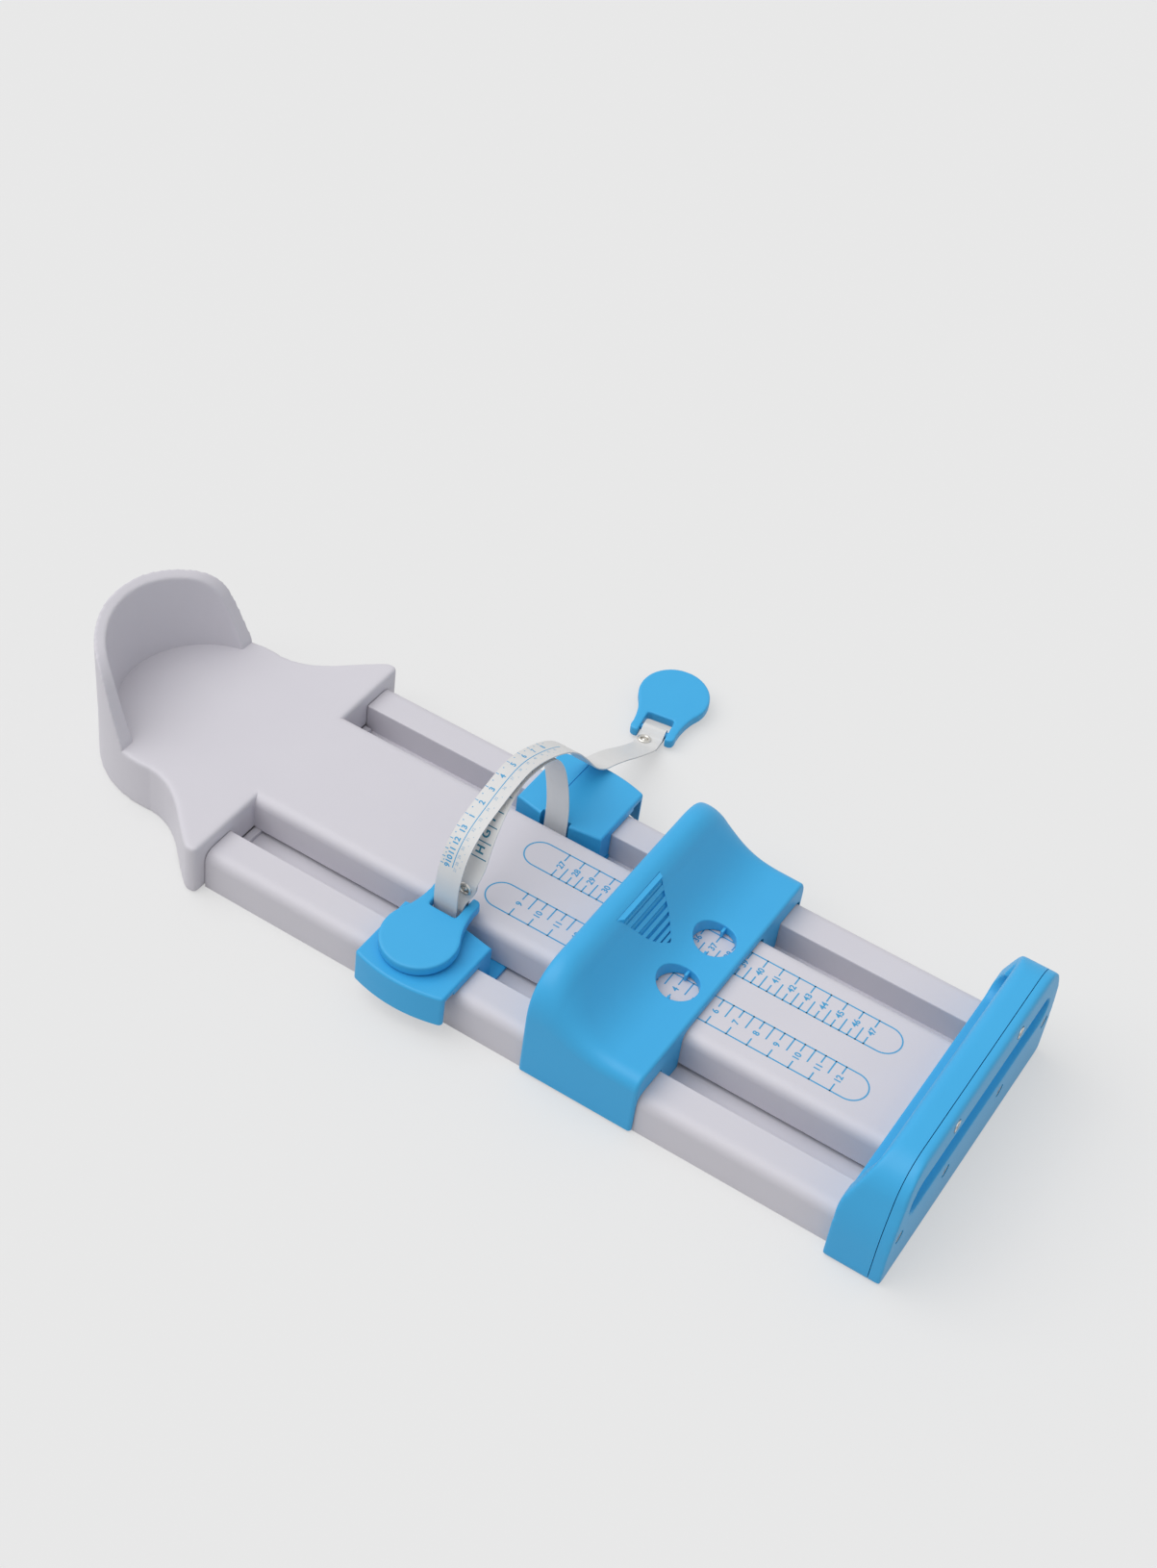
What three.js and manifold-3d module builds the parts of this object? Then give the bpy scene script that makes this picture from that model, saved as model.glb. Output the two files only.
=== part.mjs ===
import * as THREE from 'three';
import { mergeVertices } from 'three/addons/utils/BufferGeometryUtils.js';
import Module from 'manifold-3d';

// Foot measuring device: a white heel cup and foot plate over a white two-rail base, a blue toe
// slide that reads the length, a blue carriage whose measuring tape reads the width, and a blue
// carrying handle at the toe end.
// Millimetres. +X runs from the heel cup to the handle, +Y to the far side, +Z up from the floor.
// The origin is on the floor, on the middle line, halfway along the body.

const wasm = await Module();
wasm.setup();

// Driving dimensions
const bodyLength = 381.6;
const gap = 0.3;

// White top moulding
const plateTop = 23.7;
const plateHalfWidth = 29.3;
const plateBottom = 8.0;
const plateWall = 2.6;
const plateEdgeRadius = 4.0;
const heelInnerRadius = 35.1;
const heelWallFoot = 6.8;
const heelWallRim = 4.2;
const heelWallHeight = 61.5;
const heelWallFrontHeight = 54.0;
const heelWallFlare = 0.8;
const heelWallLean = 12.0;
const heelWallReach = 9.0;
const heelBlockWall = 3.0;
const heelBlockEdgeRadius = 2.0;
const wingDistance = 88.2;
const wingOverHandle = 0.6;
const wingTipRadius = 3.5;
const waistHalfWidth = 41.6;
const bossRadius = 3.6;

// White base
const railInner = 44.15;
const railOuter = 59.6;
const railTop = 17.9;
const railEdgeRadius = 4.0;
const railWall = 2.4;
const floorTop = 5.8;
const floorThickness = 2.4;
const coverThickness = 1.8;
const shelfDepth = 3.0;
const coverScrewFromHeel = 22.3;
const coverScrewFromHandle = 28.6;

// Blue handle
const handleOverhang = 6.0;
const handleDepth = 22.2;
const handleHeight = 53.0;
const handleTopInset = 5.8;
const handleShoulderHeight = 23.0;
const handleFrontHeight = 30.0;
const handleFrontLean = 8.6;
const handleTopRadius = 14.0;
const handleBarDepth = 15.2;
const handleLedgeHeight = 28.8;
const handleLedgeInset = 14.6;
const handleWall = 2.8;
const handleBackThickness = 4.4;
const slotBottom = 27.0;
const slotBelowTop = 12.0;
const handleBackUpright = 13.0;
const topScrewDrop = 6.0;
const topScrewHalfSpacing = 25.5;
const lowScrewHeight = 18.5;
const lowScrewHalfSpacing = 22.0;
const endScrewInset = 6.8;
const endScrewDrop = 1.5;
const slotEndInset = 9.8;
const railPlugLength = 12.0;

// Blue toe slide
const toeSlideLength = 47.4;
const toeOverhang = 2.0;
const toeSkirtBottom = 1.0;
const toeWall = 2.4;
const toeCrestHeight = 50.0;
const toeCrestRadius = 16.0;
const toeLowHeight = 27.6;
const windowRadius = 8.2;
const windowSpacing = 26.6;
const windowFromToeEnd = 12.8;
const windowPointerWidth = 1.0;
const windowPointerLength = 2.6;
const legClearance = 0.5;
const toeReading = 37;

// Blue width carriage
const carriageLength = 38.6;
const carriageTop = 22.0;
const carriageOverhang = 7.7;
const carriageBow = 3.2;
const farSliderOffset = 2.6;
const carriageInnerCorner = 35.8;
const carriageInnerApex = 32.5;
const carriageSkirtBottom = 7.8;
const carriageSkirtWall = 1.6;
const carriageTopWall = 2.2;
const tapeNotchWidth = 12.7;
const tapeNotchDepth = 3.3;
const farNotchShift = 0.8;
const carriageGapToToe = 30.4;
const crossbarReachHeel = 17.2;
const crossbarReachToe = 22.4;
const keeperThickness = 1.5;
const keeperChannelDepth = 0.9;
const toeKeeperLength = 30.0;

// Tape and grips
const tapeWidth = 10.0;
const tapeThickness = 0.5;
const foldRadius = 1.9;
const lapSpacing = 0.85;
const gripDiscRadius = 15.0;
const gripDiscDistance = 21.3;
const gripThickness = 4.6;
const gripEdge = 1.4;
const gripBarRadius = 1.3;
const gripProngLength = 4.6;
const gripHalfWidth = 9.8;
const gripWindowHalfWidth = 5.9;
const gripWindowLength = 7.2;
const rivetHeadRadius = 3.0;
const rivetHeadHeight = 0.5;
const rivetShankRadius = 1.5;
const farRivetOffset = -1.3;

// Screws
const screwHeadRadius = 2.4;
const screwHeadHeight = 1.4;
const screwShankRadius = 1.1;
const screwShankLength = 9.0;

// Printed scale: one continental size is two thirds of a centimetre
const sizeStep = 20 / 3;
const lastPrintedSize = 47;
const lastPrintedFromHandle = 26.3;

// Places worked out from the driving dimensions
const heelEndX = -bodyLength / 2;
const handleOuterX = bodyLength / 2;
const handleInnerX = handleOuterX - handleDepth;
const heelOuterRadius = heelInnerRadius + heelWallFoot;
const cupX = heelEndX + heelOuterRadius;
const wingEndX = heelEndX + wingDistance;
const handleHalfWidth = railOuter + handleOverhang;
const toeHalfWidth = railOuter + toeOverhang;
const carriageOuter = railOuter + carriageOverhang;
const wingHalfWidth = handleHalfWidth + wingOverHandle;
const slotTop = handleHeight - slotBelowTop;
const slotHalfLength = handleHalfWidth - slotEndInset;
const handleTopHalfWidth = handleHalfWidth - handleTopInset;
const handleLedgeHalfWidth = handleHalfWidth - handleLedgeInset;
const grooveStartX = wingEndX + gap;
const toeWindowX = handleInnerX - lastPrintedFromHandle - (lastPrintedSize - toeReading) * sizeStep;
const toeEndX = toeWindowX + windowFromToeEnd;
const toeHeelX = toeEndX - toeSlideLength;
const carriageToeX = toeHeelX - carriageGapToToe;
const carriageX = carriageToeX - carriageLength / 2;
const floorBottom = floorTop - floorThickness;

const white = { color: 0xe4e3ec, roughness: 0.45, metalness: 0 };
const blue = { color: 0x2f9fdc, roughness: 0.4, metalness: 0 };
const tapeFinish = { color: 0xf0f0ee, roughness: 0.5, metalness: 0 };
const steel = { color: 0xc4c4c2, roughness: 0.3, metalness: 1 };

// Solids from geometries
function solid(geometry) {
  const bare = geometry.clone();
  bare.deleteAttribute('normal');
  bare.deleteAttribute('uv');
  const merged = mergeVertices(bare, 1e-4);
  const corners = [];
  const index = merged.index.array;
  for (let i = 0; i < index.length; i += 3) {
    const [a, b, c] = [index[i], index[i + 1], index[i + 2]];
    if (a !== b && b !== c && c !== a) corners.push(a, b, c);
  }
  const vertProperties = merged.attributes.position.array;
  const triVerts = Uint32Array.from(corners);
  return new wasm.Manifold(new wasm.Mesh({ numProp: 3, vertProperties, triVerts }));
}

function joinAll(solids) {
  return solids.reduce((whole, piece) => whole.add(piece));
}

function cutAll(body, tools) {
  return tools.reduce((rest, tool) => rest.subtract(tool), body);
}

// Outlines: a polygon whose corners are rounded by the radius that each point carries
function roundedOutline(points) {
  const shape = new THREE.Shape();
  const count = points.length;
  points.forEach(([x, y, radius = 0], i) => {
    const before = new THREE.Vector2(...points[(i + count - 1) % count]);
    const after = new THREE.Vector2(...points[(i + 1) % count]);
    const corner = new THREE.Vector2(x, y);
    const back = before.sub(corner);
    const ahead = after.sub(corner);
    const start = corner.clone().add(back.setLength(Math.min(radius, back.length() * 0.5)));
    const end = corner.clone().add(ahead.setLength(Math.min(radius, ahead.length() * 0.5)));
    if (i === 0) shape.moveTo(start.x, start.y);
    else shape.lineTo(start.x, start.y);
    if (radius > 0) shape.quadraticCurveTo(x, y, end.x, end.y);
  });
  shape.closePath();
  return shape;
}

const alongX = new THREE.Matrix4().makeBasis(
  new THREE.Vector3(0, 1, 0), new THREE.Vector3(0, 0, 1), new THREE.Vector3(1, 0, 0));
const alongY = new THREE.Matrix4().makeBasis(
  new THREE.Vector3(1, 0, 0), new THREE.Vector3(0, 0, 1), new THREE.Vector3(0, -1, 0));

// A section drawn in Y and Z, run from one X to another
function runX(shape, fromX, toX, curveSegments = 4) {
  const depth = toX - fromX;
  const geometry = new THREE.ExtrudeGeometry(shape, { depth, bevelEnabled: false, curveSegments });
  return solid(geometry.applyMatrix4(alongX).translate(fromX, 0, 0));
}

// A side view drawn in X and Z, run from one Y to another
function runY(shape, fromY, toY, curveSegments = 6) {
  const depth = toY - fromY;
  const geometry = new THREE.ExtrudeGeometry(shape, { depth, bevelEnabled: false, curveSegments });
  return solid(geometry.applyMatrix4(alongY).translate(0, toY, 0));
}

// A plan drawn in X and Y, run from one Z to another
function runZ(shape, fromZ, toZ, curveSegments = 8) {
  const depth = toZ - fromZ;
  const geometry = new THREE.ExtrudeGeometry(shape, { depth, bevelEnabled: false, curveSegments });
  return solid(geometry.translate(0, 0, fromZ));
}

function box(fromX, toX, fromY, toY, fromZ, toZ) {
  const geometry = new THREE.BoxGeometry(toX - fromX, toY - fromY, toZ - fromZ);
  return solid(geometry.translate((fromX + toX) / 2, (fromY + toY) / 2, (fromZ + toZ) / 2));
}

function roundZ(radius, x, y, fromZ, toZ, sides = 20) {
  const geometry = new THREE.CylinderGeometry(radius, radius, toZ - fromZ, sides);
  return solid(geometry.rotateX(Math.PI / 2).translate(x, y, (fromZ + toZ) / 2));
}

function roundX(radius, y, z, fromX, toX, sides = 20) {
  const geometry = new THREE.CylinderGeometry(radius, radius, toX - fromX, sides);
  return solid(geometry.rotateZ(Math.PI / 2).translate((fromX + toX) / 2, y, z));
}

const device = new THREE.Group();

function place(name, body, finish, group = device) {
  const mesh = body.getMesh();
  const geometry = new THREE.BufferGeometry();
  geometry.setAttribute('position', new THREE.BufferAttribute(mesh.vertProperties, 3));
  geometry.setIndex(new THREE.BufferAttribute(mesh.triVerts, 1));
  geometry.computeVertexNormals();
  const part = new THREE.Mesh(geometry, new THREE.MeshStandardMaterial(finish));
  part.name = name;
  group.add(part);
  return part;
}

// Heel block plan: the round of the cup, a narrow waist and two flared wings, drawn smaller by inset
function heelPlan(inset) {
  const radius = heelOuterRadius - inset;
  const endX = wingEndX - inset;
  const tipY = wingHalfWidth - inset;
  const waistX = cupX + 6;
  const waistY = Math.min(waistHalfWidth - inset, radius - 0.3);
  const tip = wingTipRadius;
  const startAngle = Math.acos(6 / radius);
  const shape = new THREE.Shape();
  shape.moveTo(endX, -(tipY - tip));
  shape.lineTo(endX, tipY - tip);
  shape.quadraticCurveTo(endX, tipY, endX - tip - 0.9, tipY - 0.8);
  shape.bezierCurveTo(endX - tip - 12.9, tipY - 9.2, endX - tip - 20.9, waistY + 0.9, waistX, waistY);
  shape.absarc(cupX, 0, radius, startAngle, 2 * Math.PI - startAngle, false);
  shape.lineTo(waistX, -waistY);
  shape.bezierCurveTo(endX - tip - 20.9, -waistY - 0.9, endX - tip - 12.9, -tipY + 9.2,
    endX - tip - 0.9, -tipY + 0.8);
  shape.quadraticCurveTo(endX, -tipY, endX, -(tipY - tip));
  return shape;
}

// The plan run up from the floor, with its top edge rounded
function heelBlockBody() {
  const radius = heelBlockEdgeRadius;
  const geometry = new THREE.ExtrudeGeometry(heelPlan(0), {
    depth: plateTop - radius, bevelEnabled: true, bevelThickness: radius, bevelSize: radius,
    bevelOffset: -radius, bevelSegments: 3, curveSegments: 10,
  });
  const body = solid(geometry);
  const under = 2 * radius;
  return body.subtract(box(heelEndX - 5, wingEndX + 5, -wingHalfWidth - 5, wingHalfWidth + 5, -under, 0))
    .add(runZ(heelPlan(0), 0, plateTop - radius, 10));
}

const heelScrewPlaces = [
  [cupX - 16, -20], [cupX - 16, 20], [wingEndX - 14, -36], [wingEndX - 14, 36],
];

function heelWallBody() {
  const top = heelWallHeight + 1;
  const rimOuter = heelOuterRadius + heelWallFlare;
  const rimInner = rimOuter - heelWallRim;
  const mantle = new THREE.CylinderGeometry(rimOuter, heelOuterRadius, top - plateTop + 1, 64);
  const outer = solid(mantle.rotateX(Math.PI / 2).translate(cupX, 0, (top + plateTop - 1) / 2));
  const hollow = new THREE.CylinderGeometry(rimInner, heelInnerRadius, top - plateTop + 1, 64);
  const middleZ = (top + plateTop + 1) / 2;
  const inner = solid(hollow.rotateX(Math.PI / 2).translate(cupX, 0, middleZ));
  const footX = cupX - heelWallReach;
  const side = roundedOutline([
    [heelEndX - 2, plateTop - 1], [footX + 1, plateTop - 1], [footX, plateTop + 2],
    [footX - heelWallLean, heelWallFrontHeight, 9], [heelEndX - 2, heelWallHeight],
  ]);
  return outer.subtract(inner).intersect(runY(side, -wingHalfWidth, wingHalfWidth, 5));
}

function channelSection(inset) {
  const side = plateHalfWidth - inset;
  const top = plateTop - inset;
  const bottom = inset > 0 ? 0 : plateBottom;
  const radius = Math.max(plateEdgeRadius - inset, 0.5) * 1.3;
  return roundedOutline([[-side, bottom], [side, bottom], [side, top, radius], [-side, top, radius]]);
}

function footPlate() {
  const channel = runX(channelSection(0), cupX, handleInnerX - gap);
  const block = heelBlockBody();
  const hollow = runZ(heelPlan(heelBlockWall), -1, plateTop - plateWall, 8);
  const under = runX(channelSection(plateWall), wingEndX - heelBlockWall - 2, handleInnerX + 1);
  const doorway = box(wingEndX - heelBlockWall - 1, wingEndX + 1,
    -railInner, railInner, -1, plateBottom + gap);
  const shell = cutAll(block.add(channel), [hollow, under, doorway]);
  const bosses = heelScrewPlaces.map(([x, y]) => (
    roundZ(bossRadius, x, y, floorTop + gap, plateTop - 1, 16)));
  const pilots = heelScrewPlaces.map(([x, y]) => (
    roundZ(screwShankRadius + gap, x, y, 0, floorTop + screwShankLength + gap, 12)));
  return cutAll(joinAll([shell, heelWallBody(), ...bosses]), pilots);
}

place('foot_plate', footPlate(), white);

// Base: two hollow rails joined by a floor that runs on under the heel block
function railSection(side) {
  const y = (value) => side * value;
  const bend = railEdgeRadius * 1.3;
  const outline = [
    [y(railInner), 0], [y(railOuter), 0], [y(railOuter), railTop, bend], [y(railInner), railTop],
  ];
  return roundedOutline(side > 0 ? outline : outline.reverse());
}

function railHollow(side) {
  const y = (value) => side * value;
  const top = railTop - railWall;
  const near = railInner + railWall;
  const far = railOuter - railWall;
  const outline = [[y(near), -1], [y(far), -1], [y(far), top, 2], [y(near), top]];
  return roundedOutline(side > 0 ? outline : outline.reverse());
}

const coverHalfWidth = railOuter - railWall - gap;
const coverScrewFirst = grooveStartX + coverScrewFromHeel;
const coverScrewLast = handleInnerX - coverScrewFromHandle;
const coverScrewY = (railInner + railOuter) / 2 - 0.4;
const coverScrewPlaces = [coverScrewFirst, (coverScrewFirst + coverScrewLast) / 2, coverScrewLast]
  .flatMap((x) => [[x, -coverScrewY], [x, coverScrewY]]);

function baseFrame() {
  const startX = grooveStartX;
  const endX = handleInnerX - gap;
  const rails = [-1, 1].map((side) => runX(railSection(side), startX, endX));
  const hollows = [-1, 1].map((side) => runX(railHollow(side), startX + railWall, endX + 1));
  const floor = box(startX, endX, -railInner - 1, railInner + 1, floorBottom, floorTop);
  const tongue = runZ(heelPlan(heelBlockWall + gap), floorBottom, floorTop, 8);
  const tongueReach = box(heelEndX, wingEndX + 2, -railInner + gap, railInner - gap, 0, plateBottom);
  const shelf = box(startX, startX + shelfDepth, -railInner + 1, railInner - 1,
    floorTop - 1, plateBottom - gap);
  const neck = tongue.add(box(wingEndX - heelBlockWall - 2, startX + 1,
    -railInner + gap, railInner - gap, floorBottom, floorTop)).intersect(tongueReach);
  const posts = coverScrewPlaces.map(([x, y]) => (
    roundZ(bossRadius, x, y, coverThickness + gap, railTop - 1, 16)));
  const coverPilots = coverScrewPlaces.map(([x, y]) => (
    roundZ(screwShankRadius + gap, x, y, 0, coverThickness + screwShankLength + gap, 12)));
  const heelHoles = heelScrewPlaces.map(([x, y]) => (
    roundZ(screwShankRadius + gap, x, y, 0, floorTop + 1, 12)));
  const shells = cutAll(joinAll([...rails, floor, shelf, neck]), hollows);
  const coverSeat = box(startX + railWall, endX + 1, -coverHalfWidth - gap, coverHalfWidth + gap, -1,
    coverThickness + gap);
  return cutAll(joinAll([shells.subtract(coverSeat), ...posts]), [...coverPilots, ...heelHoles]);
}

place('base_frame', baseFrame(), white);

function baseCover() {
  const startX = grooveStartX + railWall + gap;
  const plate = box(startX, handleInnerX - gap, -coverHalfWidth, coverHalfWidth, 0, coverThickness);
  const holes = coverScrewPlaces.flatMap(([x, y]) => [
    roundZ(screwShankRadius + gap, x, y, -1, coverThickness + 1, 12),
    roundZ(screwHeadRadius + gap, x, y, -1, screwHeadHeight, 16),
  ]);
  return cutAll(plate, holes);
}

place('base_cover', baseCover(), white);

// A pan-head screw that points along +Z from its head's outer face
function upScrew(x, y, headZ, shankLength) {
  const head = roundZ(screwHeadRadius, x, y, headZ, headZ + screwHeadHeight - gap, 16);
  const shank = roundZ(screwShankRadius, x, y, headZ + 0.5, headZ + shankLength, 10);
  const reach = screwHeadRadius * 0.7;
  const slot = box(x - reach, x + reach, y - 0.3, y + 0.3, headZ - 1, headZ + 0.5);
  const cross = box(x - 0.3, x + 0.3, y - reach, y + reach, headZ - 1, headZ + 0.5);
  return cutAll(head.add(shank), [slot, cross]);
}

coverScrewPlaces.forEach(([x, y], i) => {
  place(`cover_screw_${i + 1}`, upScrew(x, y, gap, screwShankLength), steel);
});

heelScrewPlaces.forEach(([x, y], i) => {
  const headZ = floorBottom - screwHeadHeight;
  place(`heel_screw_${i + 1}`, upScrew(x, y, headZ, screwShankLength + floorThickness), steel);
});

// Handle: an arch with a finger slot, in a front half and a back cover
function handleOutline(inset = 0) {
  const side = handleHalfWidth - inset;
  const shoulder = handleShoulderHeight;
  const topSide = handleTopHalfWidth - inset;
  const top = handleHeight - inset;
  const bend = handleTopRadius - inset;
  return roundedOutline([
    [-side, inset, 2], [side, inset, 2], [side, shoulder, 9], [topSide, top, bend], [-topSide, top, bend],
    [-side, shoulder, 9],
  ]);
}

// The handle from the side: upright below, leaning back above the rails
function handleSideView(inset = 0) {
  const front = handleInnerX + inset;
  const top = handleHeight - inset;
  return roundedOutline([
    [front, -1], [handleOuterX + 1, -1], [handleOuterX + 1, handleFrontHeight],
    [handleOuterX, handleHeight - handleBackUpright], [handleOuterX - 0.8, top, 2.5],
    [front + handleFrontLean, top, 3], [front, handleFrontHeight, 3],
  ]);
}

function slotOutline(grow = 0) {
  const bottom = slotBottom - grow;
  const top = slotTop + grow;
  const end = slotHalfLength + grow;
  const radius = (top - bottom) / 2;
  const middle = (bottom + top) / 2;
  const shape = new THREE.Shape();
  shape.moveTo(-(end - radius), bottom);
  shape.lineTo(end - radius, bottom);
  shape.absarc(end - radius, middle, radius, -Math.PI / 2, Math.PI / 2, false);
  shape.lineTo(-(end - radius), top);
  shape.absarc(-(end - radius), middle, radius, Math.PI / 2, 1.5 * Math.PI, false);
  return shape;
}

const handleJointX = handleOuterX - handleBackThickness;
const topScrewZ = handleHeight - topScrewDrop;
const endScrewY = handleHalfWidth - endScrewInset;
const endScrewZ = handleShoulderHeight - endScrewDrop;
const handleScrewPlaces = [
  [-topScrewHalfSpacing, topScrewZ], [topScrewHalfSpacing, topScrewZ],
  [-lowScrewHalfSpacing, lowScrewHeight], [lowScrewHalfSpacing, lowScrewHeight],
  [-endScrewY, endScrewZ], [endScrewY, endScrewZ],
];

function handleFront() {
  const arch = runX(handleOutline(), handleInnerX, handleJointX - gap, 5)
    .intersect(runY(handleSideView(), -handleHalfWidth - 1, handleHalfWidth + 1, 4));
  const barX = handleOuterX - handleBarDepth;
  const ledgeCut = roundedOutline([
    [-handleLedgeHalfWidth, handleLedgeHeight, 4], [handleLedgeHalfWidth, handleLedgeHeight, 4],
    [handleLedgeHalfWidth + 6, handleHeight + 3], [-handleLedgeHalfWidth - 6, handleHeight + 3],
  ]);
  const setBack = runX(ledgeCut, handleInnerX - 1, barX, 4);
  const slot = runX(slotOutline(), handleInnerX - 1, handleJointX + 1, 8);
  const room = runX(handleOutline(handleWall), handleInnerX + handleWall, handleJointX + 1, 5)
    .intersect(runY(handleSideView(handleWall), -handleHalfWidth, handleHalfWidth, 4));
  const barWall = box(handleInnerX, barX + handleWall, -handleLedgeHalfWidth - handleWall,
    handleLedgeHalfWidth + handleWall, handleLedgeHeight - handleWall, handleHeight + 1);
  const slotWall = runX(slotOutline(handleWall), handleInnerX, handleJointX + 1, 8);
  const bosses = handleScrewPlaces.map(([y, z]) => (
    roundX(bossRadius, y, z, handleInnerX + 1, handleJointX - gap, 16)));
  const inside = cutAll(room, [barWall, slotWall, ...bosses]);
  const platePlug = runX(channelSection(plateWall + gap), handleInnerX - railPlugLength, handleInnerX + 1)
    .intersect(box(handleInnerX - bodyLength, handleOuterX, -plateHalfWidth, plateHalfWidth,
      plateBottom, plateTop));
  const plugs = [-1, 1].map((side) => {
    const near = side * (railInner + railWall + gap);
    const far = side * (railOuter - railWall - gap);
    const low = coverThickness + 2 * gap;
    return box(handleInnerX - railPlugLength, handleInnerX + 1, Math.min(near, far), Math.max(near, far),
      low, railTop - railWall - 1.2);
  });
  const pilots = handleScrewPlaces.map(([y, z]) => (
    roundX(screwShankRadius + gap, y, z, handleOuterX - screwShankLength - 2, handleOuterX, 12)));
  return cutAll(joinAll([cutAll(arch, [setBack, slot, inside]), platePlug, ...plugs]), pilots);
}

place('handle_front', handleFront(), blue);

function handleBack() {
  const cover = runX(handleOutline(), handleJointX, handleOuterX, 5)
    .intersect(runY(handleSideView(), -handleHalfWidth - 1, handleHalfWidth + 1, 4));
  const slot = runX(slotOutline(), handleJointX - 1, handleOuterX + 1, 8);
  const holes = handleScrewPlaces.flatMap(([y, z]) => [
    roundX(screwShankRadius + gap, y, z, handleJointX - 1, handleOuterX, 12),
    roundX(screwHeadRadius + gap, y, z, handleOuterX - screwHeadHeight, handleOuterX + 1, 16),
  ]);
  return cutAll(cover, [slot, ...holes]);
}

place('handle_back', handleBack(), blue);

handleScrewPlaces.forEach(([y, z], i) => {
  const face = handleOuterX - gap;
  const head = roundX(screwHeadRadius, y, z, face - screwHeadHeight + 2 * gap, face, 16);
  const shank = roundX(screwShankRadius, y, z, face - screwShankLength, face - 0.6, 10);
  const reach = screwHeadRadius * 0.7;
  const slot = box(face - 0.5, face + 1, y - reach, y + reach, z - 0.3, z + 0.3);
  const cross = box(face - 0.5, face + 1, y - 0.3, y + 0.3, z - reach, z + reach);
  place(`handle_screw_${i + 1}`, cutAll(head.add(shank), [slot, cross]), steel);
});

// Toe slide: a shell with a tall crest towards the heel, skirts over the rails and legs in the grooves
function toeSideView(shrink) {
  const low = toeLowHeight - shrink;
  const crest = toeCrestHeight - shrink;
  const heel = toeHeelX + shrink;
  const end = toeEndX - (shrink > 0 ? shrink : 0);
  const shape = new THREE.Shape();
  shape.moveTo(heel, 0);
  shape.lineTo(heel, crest - 4);
  shape.quadraticCurveTo(heel + 0.2, crest, heel + 4, crest);
  shape.quadraticCurveTo(heel + 8.6, crest + 0.4, heel + 12.5 - shrink, crest - 6);
  shape.bezierCurveTo(heel + 19 - shrink, crest - 14.5, heel + 24 - shrink, low + 1,
    heel + 36 - shrink, low + 0.3);
  shape.lineTo(end - 1.5, low);
  shape.quadraticCurveTo(end, low, end, low - 1.5);
  shape.lineTo(end, 0);
  shape.closePath();
  return shape;
}

function toeFrontView(shrink = 0) {
  const side = toeHalfWidth - shrink;
  const top = toeCrestHeight - shrink;
  const bottom = shrink > 0 ? -2 : toeSkirtBottom;
  const bend = (toeCrestRadius - shrink) * 1.3;
  return roundedOutline([[-side, bottom], [side, bottom], [side, top, bend], [-side, top, bend]]);
}

// What the slides ride over, drawn larger by a clearance: the plate and each rail
function plateTrack(clearance) {
  const side = plateHalfWidth + clearance;
  const top = plateTop + clearance;
  return roundedOutline([
    [-side, -2], [side, -2], [side, top, plateEdgeRadius], [-side, top, plateEdgeRadius],
  ]);
}

function railTrack(side, clearance) {
  const near = side * (railInner - clearance);
  const far = side * (railOuter + clearance);
  const top = railTop + clearance;
  const outline = [[near, -2], [far, -2], [far, top, railEdgeRadius], [near, top]];
  return roundedOutline(side > 0 ? outline : outline.reverse());
}

const windowPlaces = [-windowSpacing / 2, windowSpacing / 2];

// Keepers: flat bars that pass under the foot plate and tie the two sides of a slide together
const seatGap = 0.2;
const keeperBottom = floorTop + gap;
const keeperTop = keeperBottom + keeperThickness;
const keeperScrewTop = keeperBottom + screwShankLength;
const legInner = plateHalfWidth + legClearance;
const legOuter = railInner - legClearance;
const legMiddle = (legInner + legOuter) / 2;
const toeKeeperX = (toeHeelX + toeEndX) / 2;
const toeKeeperScrewPlaces = [[toeKeeperX, -legMiddle], [toeKeeperX, legMiddle]];

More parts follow.
